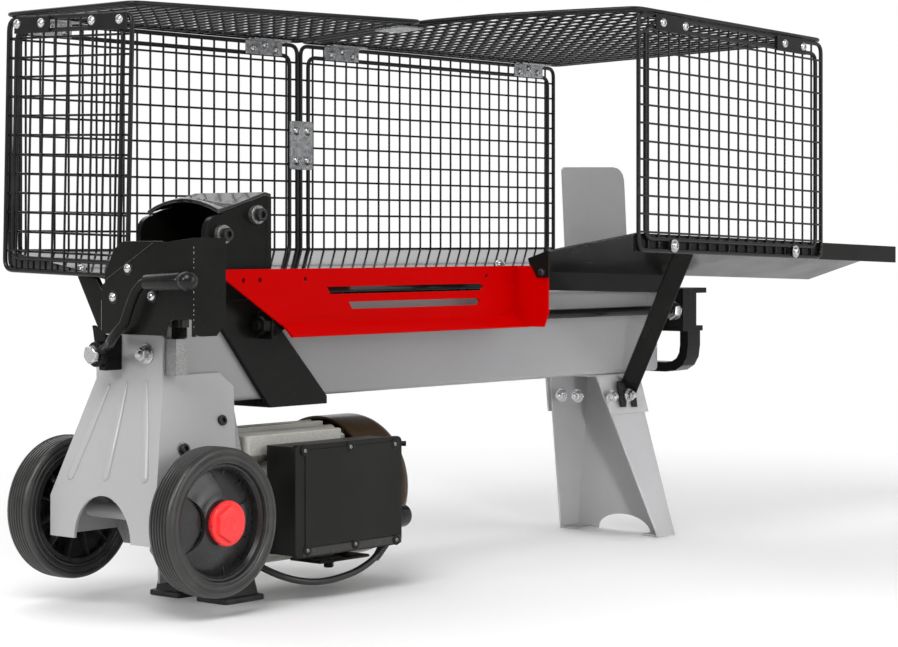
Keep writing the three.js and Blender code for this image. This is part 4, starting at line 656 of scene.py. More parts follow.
# Corners are drawn flat and anticlockwise; place turns (u, v, depth) into a point of the frame
def cagePanel(node, corners, place):
    sizes = cageSizes
    rod, wire, middle = sizes["rodRadius"], sizes["wireRadius"], sizes["thickness"] / 2
    bm = bmesh.new()
    for step in (0.0, sizes["ringStep"]):
        line = splitRod(roundedOutline(insetOutline(corners, step + rod), sizes["cornerRadius"]))
        tubeMesh(bm, [place(p.x, p.y, middle) for p in line], rod, closed=True, sides=12)
    edge = insetOutline(corners, rod)
    for across in (0, 1):
        values = [c[across] for c in edge]
        low, high = min(values), max(values)
        count = round((high - low) / sizes["pitch"])
        depth = middle + wire * (1 if across else -1)
        for i in range(1, count):
            level = low + (high - low) * i / count
            ends = [(hit, level) if across else (level, hit) for hit in chord(edge, level, across)]
            if ends:
                start, end = (place(u, v, depth) for u, v in ends)
                addBar(bm, start, end, wire, 8)
    addPiece(f"{node}_mesh", bm, "cagePaint", node, angle=50)


def lidHeight(x, y):
    sizes = cageSizes
    back = seam.z + sizes["gap"]
    depth = max(tableHigh.y - y, 0)
    if x <= seam.x + sizes["seamWidth"]:
        along = max((x - tableLow.x) / (seam.x - tableLow.x), 0)
        return back + sizes["seamRise"] * along * depth / (tableHigh.y - endLow.y)
    return back + (sizes["lidFall"] - sag(x - axleX)) * depth / (tableHigh.y - wingLow.y)


def rectangle(u0, u1, v0, v1):
    return [(u0, v0), (u1, v0), (u1, v1), (u0, v1)]


# The end panel hangs a little turned about its far top corner
def onEnd(u, v, d):
    across, down = endHigh.y - u, endHigh.z - v
    return Vector((
        endLow.x + d, endHigh.y - across * math.cos(hang) + down * math.sin(hang),
        endHigh.z - down * math.cos(hang) - across * math.sin(hang)))


def onFront(u, v, d):
    return Vector((u, wingLow.y - cageSizes["gap"] - d, v - sag(u - axleX)))


def onLid(u, v, d):
    return Vector((u, v, lidHeight(u, v) + d))


def makeCage():
    cagePanel("cage_end_panel", rectangle(endLow.y, endHigh.y, endLow.z, endHigh.z), onEnd)
    for node in ("cage_back_left_panel", "cage_back_right_panel"):
        a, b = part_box(node)
        cagePanel(node, rectangle(a.x, b.x, a.z, b.z), lambda u, v, d: Vector((u, a.y + d, v)))
    foot = frontLow.z + sag(frontHigh.x - axleX)
    cagePanel("cage_front_panel", rectangle(
        frontLow.x, frontHigh.x, foot, frontHigh.z + cageSizes["gap"]), onFront)
    leftLow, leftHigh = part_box("cage_lid_left_panel")
    cagePanel("cage_lid_left_panel", rectangle(leftLow.x, leftHigh.x, leftLow.y, leftHigh.y), onLid)
    a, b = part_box("cage_lid_right_panel")
    kink = at(*cageSizes["kink"])
    cagePanel("cage_lid_right_panel", [
        (a.x, leftLow.y), (kink.x, kink.y), (frontLow.x, a.y), (b.x, a.y), (b.x, b.y), (a.x, b.y)], onLid)


makeCage()
print("guard cage made")

# Wheels: grooved tyre, dished hub with three scooped pockets, red cap

wheelSizes = {
    "radius": 0.0725, "halfWidth": 0.0155, "bead": 0.0566, "crown": 0.0009, "shoulder": 0.0042,
    "grooves": 6, "grooveWidth": 0.0017, "grooveDepth": 0.0014,
    "rimInside": 0.0518, "rimHalfWidth": 0.0135, "bossRadius": 0.0228,
    "pocketAngles": (180, 60, -60), "pocketRadius": 0.0295, "pocketCentre": 0.0515, "ribs": 12,
    "scoopSwing": 104, "scoopSteps": 18, "scoopEase": 1.004, "scoopLift": 0.0058, "scoopFall": 0.0075,
    "scoopDip": 0.0016, "scoopThickness": 0.003,
    "capFlange": 0.0221, "capHex": 0.0188, "capNotches": 7, "capOut": 0.0058, "capBase": 0.0119,
    "capHeight": 0.0142, "capHollow": 0.02,
}


def tyreProfile():
    sizes = wheelSizes
    half, radius, shoulder, depth = (sizes[k] for k in ("halfWidth", "radius", "shoulder", "grooveDepth"))
    flat = half - shoulder
    wide = sizes["grooveWidth"] / 2
    tread = []
    pitch = 2 * flat / sizes["grooves"]
    for i in range(sizes["grooves"]):
        middle = -flat + pitch * (i + 0.5)
        land = radius - sizes["crown"] * (middle / half) ** 2
        tread += [
            (land, middle - wide * 1.5), (land - depth, middle - wide * 0.6), (land - depth, middle + wide * 0.6),
            (land, middle + wide * 1.5),
        ]
    edge = radius - sizes["crown"] * (flat / half) ** 2
    turns = [math.pi / 2 * k / 4 for k in range(5)]
    side = [(edge - shoulder + shoulder * math.cos(turn), flat + shoulder * math.sin(turn)) for turn in turns]
    side += [
        (0.0668, half), (0.0660, half - 0.0007), (0.0650, half - 0.0007), (0.0642, half), (0.0618, half + 0.0001),
        (0.0606, half - 0.0004), (0.0600, half - 0.0013), (0.0590, half - 0.0013), (0.0582, half - 0.0007),
        (0.0572, half - 0.0012), (sizes["bead"], half - 0.0024),
    ]
    return [(r, -a) for r, a in reversed(side)] + tread + side


# The dished floor of one pocket
def makeScoop(centre, radial, out):
    sizes = wheelSizes
    edge, steps, wide = sizes["rimInside"] + 0.0004, sizes["scoopSteps"], sizes["pocketRadius"] * sizes["scoopEase"]
    tangent = out.cross(radial)
    outline = []
    for k in range(steps + 1):
        swing = math.radians(sizes["scoopSwing"]) * (2 * k / steps - 1)
        reach, across = sizes["pocketCentre"] - wide * math.cos(swing), wide * math.sin(swing)
        limit = min(1.0, edge / math.hypot(reach, across))
        outline.append((reach * limit, across * limit))
    widest = math.atan2(outline[-1][1], outline[-1][0])
    for k in range(steps - 1, 0, -1):
        swing = widest * (2 * k / steps - 1)
        outline.append((edge * math.cos(swing), edge * math.sin(swing)))
    scoop = bmesh.new()
    plate = scoop.faces.new([scoop.verts.new(centre + radial * r + tangent * w) for r, w in outline])
    bmesh.ops.inset_region(scoop, faces=[plate], thickness=0.0022, depth=0)
    lifted = set(extruded(scoop))
    for vert in scoop.verts:
        offset = vert.co - centre
        reach = offset.dot(radial)
        lift = sizes["scoopLift"] - sizes["scoopFall"] * (reach - 0.022) / 0.030
        if abs(offset.dot(tangent)) < 0.020 and 0.026 < reach < 0.047:
            lift -= sizes["scoopDip"]
        vert.co += out * (lift if vert in lifted else lift - sizes["scoopThickness"])
    return scoop


def makeHub(centre, outward):
    sizes = wheelSizes
    rim, half, boss = (sizes[k] for k in ("rimInside", "rimHalfWidth", "bossRadius"))
    out = Vector(outward)
    face = [
        (0, 0.0117), (boss, 0.0117), (boss + 0.0008, 0.0112), (0.0285, 0.0108), (0.034, 0.0094), (0.0395, 0.0070),
        (0.0445, 0.0040), (0.0485, 0.0016), (rim + 0.0006, 0.0008),
    ]
    back = [(r, max(a - 0.0042, -0.0032)) for r, a in reversed(face)]
    bm = turned(face + back, centre, outward, 96)
    radials = [around(math.radians(angle)) for angle in sizes["pocketAngles"]]
    cutter = bmesh.new()
    for radial in radials:
        place = centre + radial * sizes["pocketCentre"]
        addBar(cutter, place - out * 0.02, place + out * 0.02, sizes["pocketRadius"], 72)
    carve(bm, cutter)
    bmesh.ops.dissolve_limit(bm, angle_limit=math.radians(0.5), verts=bm.verts, edges=bm.edges)
    bevelSharp(bm, 0.0007, 2, 40)
    for radial in radials:
        join(bm, makeScoop(centre, radial, out))
    addTurned(bm, [
        (rim, -half), (0.0563, -half), (0.0563, half - 0.0026), (0.0557, half - 0.0022), (0.0540, half - 0.0022),
        (rim + 0.0014, half - 0.0034), (rim, half - 0.0056),
    ], centre, outward, 96, closed=True)
    addTurned(bm, [
        (0.0086, -half), (0.0145, -half), (0.0155, 0.006), (0.0086, 0.006),
    ], centre, outward, 40, closed=True)
    for turn in evenTurns(sizes["ribs"]):
        radial = around(turn)
        axes = Matrix((radial, out.cross(radial), out)).transposed().to_4x4()
        rib = bmesh.new()
        addBlock(rib, Vector((0.0125, -0.0009, -0.0118)), Vector((rim + 0.0005, 0.0009, 0.0002)))
        bmesh.ops.transform(rib, verts=rib.verts, matrix=Matrix.Translation(centre) @ axes)
        join(bm, rib)
    return bm


def makeCap(centre, outward):
    sizes = wheelSizes
    flange, corner, rise, top = (sizes[k] for k in ("capFlange", "capHex", "capOut", "capHeight"))
    out = Vector(outward)
    base = centre + out * sizes["capBase"]
    cap = bmesh.new()
    addBar(cap, base + out * 0.0015, base + out * top, corner, 6, corner * 0.965)
    bevelSharp(cap, 0.0016, 3, 20)
    cutter = bmesh.new()
    bmesh.ops.create_icosphere(
        cutter, subdivisions=4, radius=sizes["capHollow"], matrix=Matrix.Translation(base + out * (top + 0.0188)))
    carve(cap, cutter)
    addTurned(cap, [(0, 0.0128), (0.0032, 0.0128), (0.0036, 0.0132), (0.003, 0.0136), (0, 0.0136)], base, outward, 24)
    plate = turned([
        (0, 0), (0.0185, 0), (0.0195, rise - 0.001), (flange - 0.0004, rise), (flange, rise + 0.0008),
        (flange - 0.0004, rise + 0.0030), (flange - 0.0015, rise + 0.0042), (0.016, rise + 0.0046),
        (0, rise + 0.0046),
    ], base, outward, 64)
    notches = bmesh.new()
    for turn in evenTurns(sizes["capNotches"], 0.55):
        place = base + around(turn) * (flange + 0.0016)
        addBar(notches, place - out * 0.001, place + out * (rise + 0.006), 0.0026, 16)
    carve(plate, notches)
    join(cap, plate)
    return cap


def makeTyre(centre, outward):
    return turned(tyreProfile(), centre, outward, 96, closed=True)


def makeWheels():
    for name, side in (("near", -1), ("far", 1)):
        low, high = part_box(f"tyre_{name}")
        centre = Vector((axleX, (low.y + high.y) / 2, axleZ))
        for part, make, kind, finish, angle in (
                ("tyre", makeTyre, "grooved", "tyreRubber", 32), ("wheel_hub", makeHub, "dished", "hubPlastic", 32),
                ("hub_cap", makeCap, "moulded", "redPlastic", 28)):
            node = f"{part}_{name}"
            addPiece(f"{node}_{kind}", make(centre, (0, side, 0)), finish, node, body=f"wheel_{name}", angle=angle)


makeWheels()
print("wheels made")

# Motor: fan cover, switch box with its lid, button and lead

motorSizes = {
    "axisZ": 0.099, "coverRadius": 0.0757, "coverWall": 0.0025, "coverStart": 0.2545, "coverEnd": 0.3285,
    "domeAcross": 0.022, "domeDeep": 0.024, "housingStretch": 0.0145, "stretchFrom": 0.16,
    "ventRadius": 0.011, "ventCircle": 0.04, "vents": 6,
    "padLow": (0.0855, -0.062, 0.146), "padHigh": (0.2275, -0.030, 0.1667), "boxChamfer": 0.0055,
    "boxStart": 0.1055, "boxEnd": 0.2608, "boxBack": -0.0663, "boxFront": -0.1053, "boxLow": 0.0483,
    "boxHigh": 0.157, "lidFront": -0.1126, "lidOverhang": 0.002, "panelRise": 0.001,
    "screws": (
        (0.1163, 0.1533), (0.1830, 0.1530), (0.2508, 0.1512), (0.1200, 0.0535), (0.1905, 0.0535), (0.2530, 0.0516)),
    "footLow": (0.186, -0.068, 0.0290), "footHigh": (0.262, -0.024, 0.0322), "footBolt": (0.2158, -0.0520, 0.0290),
    "buttonPlace": (0.2633, -0.095, 0.073), "buttonRadius": 0.012, "buttonReach": 0.0075,
}


def makeFanCover():
    sizes = motorSizes
    centre = at(0, 0, sizes["axisZ"])
    radius, wall, start, end, across, deep = (
        sizes[k] for k in ("coverRadius", "coverWall", "coverStart", "coverEnd", "domeAcross", "domeDeep"))
    outer = [(radius - 0.0004, start), (radius, start + 0.0006), (radius, end - deep)]
    for k in range(1, 9):
        turn = math.pi / 2 * k / 8
        outer.append((radius - across + across * math.cos(turn), end - deep + deep * math.sin(turn)))
    outer.append((0.0, end))
    inner = [(max(r - wall, 0.0), a - wall if a > end - 0.03 else a) for r, a in reversed(outer)]
    inner[-1] = (radius - wall, start)
    bm = turned(outer + inner, centre, (1, 0, 0), 96, closed=True)
    cutter = bmesh.new()
    for turn in evenTurns(sizes["vents"]):
        place = centre + Vector((0, math.cos(turn), math.sin(turn))) * sizes["ventCircle"]
        start, stop = (place + Vector((x, 0, 0)) for x in (end - 0.012, end + 0.01))
        addBar(cutter, start, stop, sizes["ventRadius"], 40)
    carve(bm, cutter)
    addPiece("fan_cover_domed", bm, "fanPlastic", "fan_cover")


# Edges that run further than a length along one axis
def edgesAlong(bm, axis, length):
    return [e for e in bm.edges if abs(e.verts[0].co[axis] - e.verts[1].co[axis]) > length]


# The housing reaches a little further under the fan cover than its CAD solid, with a raised pad on its near side
def makeHousing():
    sizes = motorSizes
    bm = mergedCopy("motor_housing")
    for vert in bm.verts:
        if vert.co.x > atX(sizes["stretchFrom"]):
            vert.co.x += sizes["housingStretch"]
    bevelSharp(bm, 0.0008)
    pad = bmesh.new()
    addBlock(pad, at(*sizes["padLow"]), at(*sizes["padHigh"]))
    bevelEdges(pad, edgesAlong(pad, 2, 0.01), 0.006, 4)
    bevelSharp(pad, 0.0015, 2, 50)
    join(bm, pad)
    addTurned(bm, [
        (0.0600, 0.2490), (0.0668, 0.2490), (0.0668, 0.2555), (0.0655, 0.2575), (0.0600, 0.2575),
    ], at(0, 0, sizes["axisZ"]), (1, 0, 0), 72, closed=True)
    addPiece("motor_housing_finned", bm, "motorAluminium", "motor_housing", weighted=True)
    foot = softBlock(at(*sizes["footLow"]), at(*sizes["footHigh"]), 0.0012)
    addHexHead(foot, at(*sizes["footBolt"]), (0, 0, -1), *hexes["motorFoot"])
    addPiece("motor_foot", foot, "blackPaint")


def makeSwitchBox():
    sizes = motorSizes
    low, high, start, end, front, face, over, rise = (sizes[k] for k in (
        "boxLow", "boxHigh", "boxStart", "boxEnd", "boxFront", "lidFront", "lidOverhang", "panelRise"))
    bm = bmesh.new()
    addBlock(bm, at(start, front, low), at(end, sizes["boxBack"], high))
    corner = [e for e in bm.edges if all(v.co.y > atY(-0.07) for v in e.verts) and e.calc_length() < 0.12]
    bevelEdges(bm, corner, 0.0075, 2)
    back = atY(sizes["boxBack"])
    upper = [e for e in bm.edges if all(v.co.z > high - 0.0005 and v.co.y > back - 0.0005 for v in e.verts)]
    bevelEdges(bm, upper, sizes["boxChamfer"], 1)
    bevelSharp(bm, 0.0016)
    addPiece("switch_box_body", bm, "boxPlastic", "switch_box", weighted=True)
    lid = bmesh.new()
    addBlock(lid, at(start - over, face, low - over), at(end + over, front - 0.0003, high + over))
    bevelEdges(lid, edgesAlong(lid, 1, 0.004), 0.006, 4)
    bevelSharp(lid, 0.0011)
    join(lid, softBlock(
        at(start + 0.0115, face - rise, low + 0.0085), at(end - 0.0035, front - 0.002, high - 0.003), 0.0008))
    screws = bmesh.new()
    for x, z in sizes["screws"]:
        addTurned(lid, [
            (0.0028, 0.0), (0.0055, 0.0), (0.0055, 0.0012), (0.0046, 0.0018), (0.0028, 0.0018),
        ], at(x, face, z), (0, -1, 0), 20, closed=True)
        addDomeHead(screws, at(x, face - rise, z), (0, -1, 0), *heads["box"])
    hook = at(end + over - 0.003, face + 0.001, high - 0.0065)
    addBlock(lid, hook, hook + Vector((0.0105, 0.005, 0.0024)))
    addBlock(lid, hook + Vector((0.0082, 0.0, -0.0028)), hook + Vector((0.0105, 0.005, 0.002)))
    addPiece("switch_box_lid", lid, "boxPlastic", "switch_box_cover", weighted=True)
    addPiece("switch_box_screws", screws, "washerSteel", angle=38)
    # The bottom strip of the lid takes the lighter hub plastic as painted light, for the light this bevelled strip
    # catches
    sill = softBlock(
        at(start + 0.0085, face - 0.0006, low - 0.0005), at(end + 0.0005, front - 0.002, low + 0.0075), 0.0005)
    addPiece("switch_box_sill_painted_light", sill, "hubPlastic", weighted=True)


def makeButton():
    sizes = motorSizes
    radius, reach = sizes["buttonRadius"], sizes["buttonReach"]
    base = at(*sizes["buttonPlace"])
    bm = turned([
        (0, -0.008), (0.0079, -0.008), (0.0079, 0.0042), (radius, 0.0046), (radius, 0.0125 + reach),
        (radius - 0.0008, 0.0148 + reach), (radius - 0.003, 0.0172 + reach), (radius - 0.0065, 0.0190 + reach),
        (0, 0.0196 + reach),
    ], base, (1, 0, 0), 40)
    addPiece("start_button_domed", bm, "gripPlastic", "start_button", body="button")
    collar = turned([
        (radius + 0.0005, 0.0), (radius + 0.0042, 0.0), (radius + 0.0042, 0.0014), (radius + 0.003, 0.0030),
        (radius + 0.0005, 0.0032),
    ], base, (1, 0, 0), 40, closed=True)
    addPiece("start_button_collar", collar, "boxPlastic", angle=38)


leadSizes = {
    "diameter": 0.007, "sides": 16, "reliefRings": 6, "ringPitch": 0.0034,
    "route": (
        (0.2525, -0.0985, 0.0480), (0.2425, -0.0990, 0.0390), (0.2288, -0.0992, 0.0303), (0.2066, -0.0990, 0.0225),
        (0.1810, -0.0980, 0.0183), (0.1600, -0.0965, 0.0172), (0.1425, -0.0938, 0.0183), (0.1275, -0.0890, 0.0213),
        (0.1145, -0.0822, 0.0260), (0.1040, -0.0728, 0.0322), (0.0965, -0.0612, 0.0397), (0.0920, -0.0455, 0.0500)),
}


# A smooth line through the given points
def smoothLine(points, parts):
    line = []
    for i in range(len(points) - 1):
        a, b, c, d = points[max(i - 1, 0)], points[i], points[i + 1], points[min(i + 2, len(points) - 1)]
        for k in range(parts):
            t = k / parts
            line.append((
                b * 2 + (c - a) * t + (a * 2 - b * 5 + c * 4 - d) * t ** 2 + (b * 3 - a - c * 3 + d) * t ** 3) / 2)
    line.append(points[-1])
    return line


def makeLead():
    line = smoothLine([at(*p) for p in leadSizes["route"]], 5)
    bm = bmesh.new()
    tubeMesh(bm, line, leadSizes["diameter"] / 2, sides=leadSizes["sides"])
    lead = addPiece("motor_lead_cable", bm, "leadRubber", "motor_lead", angle=40)
    profile = [(0.0037, 0.0), (0.0058, 0.0)]
    for k in range(leadSizes["reliefRings"]):
        along = 0.002 + leadSizes["ringPitch"] * k
        radius = 0.0054 - 0.00022 * k
        profile += [
            (radius, along), (radius, along + 0.0016), (radius - 0.0007, along + 0.0018),
            (radius - 0.0007, along + 0.0032),
        ]
    profile.append((0.0037, 0.0235))
    relief = bmesh.new()
    for a, b in ((line[0], line[3]), (line[-1], line[-4])):
        way = (b - a).normalized()
        addTurned(relief, profile, a - way * 0.0012, way, 24, closed=True)
    sleeve = addPiece("motor_lead_reliefs", relief, "leadRubber", angle=38)


makeLead()
makeHousing()
makeFanCover()
makeSwitchBox()
makeButton()
print("motor pieces made")

# Control lever with its grip and pivot bolt, bleed screw

leverSizes = {
    "radius": 0.0048, "pivot": (-0.0373, 0.018, 0.251), "hubRadius": 0.0125, "hubWall": 0.006,
    "points": (
        (-0.0426, 0.0082, 0.2551), (-0.0436, 0.001, 0.2583), (-0.050, -0.011, 0.262), (-0.057, -0.022, 0.267),
        (-0.060, -0.0335, 0.275), (-0.060, -0.0430, 0.283), (-0.060, -0.0480, 0.293), (-0.060, -0.0530, 0.3025),
        (-0.060, -0.059, 0.3126), (-0.060, -0.066, 0.3194), (-0.060, -0.072, 0.3225), (-0.060, -0.078, 0.3228),
        (-0.060, -0.084, 0.32303)),
    "gripStart": (-0.060, -0.076, 0.32275), "gripWay": (0.0, -1.0, 0.035), "gripLength": 0.0655,
    "headRadius": 0.0098, "headDepth": 0.007, "headTurn": 14, "shaftReach": 0.037, "shaftRadius": 0.0044,
}


def makeLever():
    sizes = leverSizes
    inside, wall, radius, length, head = (sizes[k] for k in (
        "radius", "hubWall", "hubRadius", "gripLength", "headRadius"))
    pivot = at(*sizes["pivot"])
    bm = bmesh.new()
    tubeMesh(bm, smoothLine([at(*p) for p in sizes["points"]], 5), inside, sides=20)
    addTurned(bm, [
        (inside, 0.0), (radius - 0.0006, 0.0), (radius, 0.0006), (radius, wall - 0.0006), (radius - 0.0006, wall),
        (inside, wall),
    ], pivot, (-1, 0, 0), 48, closed=True)
    addPiece("control_lever_bent", bm, "blackPaint", "control_lever", body="lever", angle=35)
    profile = [(0.0052, 0.0), (0.0078, 0.0), (0.0084, 0.0007), (0.0086, 0.003), (0.0086, length - 0.019)]
    for k in range(1, 13):
        turn = -0.9 + (math.pi / 2 + 0.9) * k / 12
        profile.append((0.0099 * math.cos(turn), length - 0.0105 + 0.0105 * math.sin(turn)))
    profile[-1] = (0.0, length)
    profile += [(0.0, length - 0.006), (0.0052, length - 0.008)]
    grip = turned(profile, at(*sizes["gripStart"]), sizes["gripWay"], 40, closed=True)
    addPiece("lever_grip_turned", grip, "gripPlastic", "lever_grip", body="lever", angle=35)
    foot = pivot + Vector((-wall - 0.0003, 0, 0))
    top = foot + Vector((-sizes["headDepth"], 0, 0))
    bolt = bmesh.new()
    addBar(bolt, foot, top, head, 6, head * 0.97)
    bmesh.ops.rotate(
        bolt, verts=bolt.verts, cent=foot, matrix=Matrix.Rotation(math.radians(sizes["headTurn"]), 3, "X"))
    bevelSharp(bolt, 0.0009)
    addTurned(bolt, [(0, 0), (0.0078, 0), (0.0074, 0.0005), (0, 0.0005)], top, (-1, 0, 0), 32)
    addBar(bolt, foot, pivot + Vector((sizes["shaftReach"], 0, 0)), sizes["shaftRadius"], 24)
    addPiece("valve_shaft_bolt", bolt, "boltZinc", "valve_shaft", body="lever")


def makeBleedScrew():
    low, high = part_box("air_bleed_knob")
    centre = (low + high) / 2
    half = (high.z - low.z) / 2
    radius = (high.x - low.x) / 2
    profile = [(0, 0), (radius * 0.72, 0.0)]
    for k in range(6):
        along = 0.0012 + 0.0016 * k
        profile += [(radius * 0.86, along), (radius * 0.76, along + 0.0008)]
    profile += [
        (radius * 0.8, half * 1.1), (radius, half * 1.15), (radius, half * 1.85), (radius * 0.9, half * 2),
        (0, half * 2),
    ]
    bm = turned(profile, Vector((centre.x, centre.y, low.z)), (0, 0, 1), 40)
    addPiece("air_bleed_screw", bm, "gripPlastic", "air_bleed_knob")


makeLever()
makeBleedScrew()
print("lever made")

# Bolts, nuts and corner plates that the CAD leaves out

plateSizes = {
    "endPlates": ((0.150, 0.206), (0.031, 0.090)), "endBolts": (0.2005, 0.1618, 0.083, 0.041),
    "frontPlates": ((0.600, 0.662), (0.852, 0.917)), "frontBolts": (0.6126, 0.6562, 0.8676, 0.9097),
    "frontLowBolts": (0.6362, 0.8937), "height": 0.0185, "thickness": 0.002, "drop": 0.0015, "edge": 0.0006,
}


def makeCornerPlates():
    sizes = plateSizes
    thick, tall = sizes["thickness"], sizes["height"]
    face, front = endLow.x - 0.0002, frontLow.y + 0.0018
    plates, bolts = bmesh.new(), bmesh.new()

    def hung(y, drop):
        across = endHigh.y - atY(y)
        return endHigh.y - across + drop * math.sin(hang), endHigh.z - drop - across * math.sin(hang)

    def addPlate(plate):
        bevelSharp(plate, sizes["edge"])
        join(plates, plate)

    # Drawn as a unit square and then hung from the panel
    for y0, y1 in sizes["endPlates"]:
        plate = bmesh.new()
        addBlock(plate, Vector((face - thick, 0, 0)), Vector((face, 1, 1)))
        for vert in plate.verts:
            vert.co.y, vert.co.z = hung(y1 if vert.co.y > 0.5 else y0, sizes["drop"] if vert.co.z > 0.5 else tall)
        addPlate(plate)
    for y in sizes["endBolts"]:
        addDomeHead(bolts, Vector((face - thick, *hung(y, 0.0085))), (-1, 0, 0), *heads["plate"])
    for x0, x1 in sizes["frontPlates"]:
        plate = bmesh.new()
        addBlock(plate, Vector((atX(x0), front - thick, 0)), Vector((atX(x1), front, 1)))
        for vert in plate.verts:
            top = frontHigh.z - 0.0005 - sag(vert.co.x - axleX)
            vert.co.z = top if vert.co.z > 0.5 else top - tall
        addPlate(plate)
    for x in sizes["frontBolts"]:
        place = Vector((atX(x), front - thick, frontHigh.z - 0.0095 - sag(x)))
        addDomeHead(bolts, place, (0, -1, 0), *heads["plate"])
    for x in sizes["frontLowBolts"]:
        place = Vector((atX(x), front - 0.0008, frontLow.z + sag(frontHigh.x - axleX) + 0.0085 - sag(x)))
        addDomeHead(bolts, place, (0, -1, 0), *heads["plateLow"])
    addPiece("cage_corner_plates", plates, "cagePaint", weighted=True)
    addPiece("cage_corner_bolts", bolts, "boltZinc", angle=38)


hardware = {
    "guardBolts": ((-0.048, -0.0359, 0.3356), (-0.048, -0.0146, 0.3076), (-0.048, -0.0693, 0.3094)),
    "neckNut": (-0.015, -0.0260, 0.2515),
    "saddleBolts": (0.7125, 0.7465), "saddleHeight": 0.1745, "saddleEndBolts": (0.012, -0.0125),
    "forkThickness": 0.002,
    "fork": (
        (0.7246, 0.1920), (0.7326, 0.1605), (0.7433, 0.1600), (0.7439, 0.1715), (0.7543, 0.1715), (0.7550, 0.1595),
        (0.7662, 0.1589), (0.7604, 0.1900)),
    "joinerBolts": ((0.4475, 0.493), (0.4665, 0.493), (0.4475, 0.4575), (0.4665, 0.4575)),
    "clampBolts": ((0.011, 0.0065), (0.030, 0.0115), (0.049, 0.0065)),
    "pusherBolts": ((0.1085, 0.3885), (0.0610, 0.3685)), "pusherSide": 0.051, "collarHeight": 0.0058,
    "tabBolt": (0.4972, -0.1135, 0.327), "tableBolts": ((0.7101, 0.120), (0.0295, 0.120)),
    "legBolts": ((0.0545, -0.0560, 0.184), (-0.0035, -0.0640, 0.160)), "legLean": 0.27,
    "foldMarks": 15, "markHalf": 0.00025, "bendLine": ((-0.0484, -0.0047, 0.3248), (-0.0484, -0.0710, 0.3599)),
    "crossheadNut": (0.8290, -0.0625, 0.2755),
}


# Small bright marks along the folded edge of the lever guard
def foldMarks():
    guardLow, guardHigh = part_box("lever_guard")
    wander = random.Random(7)
    count, half = hardware["foldMarks"], hardware["markHalf"]
    marks = bmesh.new()
    for i in range(count):
        z = guardLow.z + 0.010 + (guardHigh.z - guardLow.z - 0.018) * (i + wander.uniform(-0.3, 0.3)) / (count - 1)
        long = wander.uniform(0.0005, 0.0012)
        mark = softBlock(Vector((-half, -half, -long)), Vector((half, half, long)), 0.00012, 1)
        bmesh.ops.translate(mark, verts=mark.verts, vec=Vector((guardLow.x + 0.0001, guardLow.y + 0.0001, z)))
        join(marks, mark)
    return marks


# The forked plate at the foot of the wing's strut
def footFork(face):
    plate = bmesh.new()
    plate.faces.new([plate.verts.new(Vector((atX(x), face, z))) for x, z in hardware["fork"]])
    bmesh.ops.translate(plate, verts=extruded(plate), vec=(0, -hardware["forkThickness"], 0))
    bmesh.ops.recalc_face_normals(plate, faces=plate.faces)
    bevelSharp(plate, 0.0004, 1)
    return plate


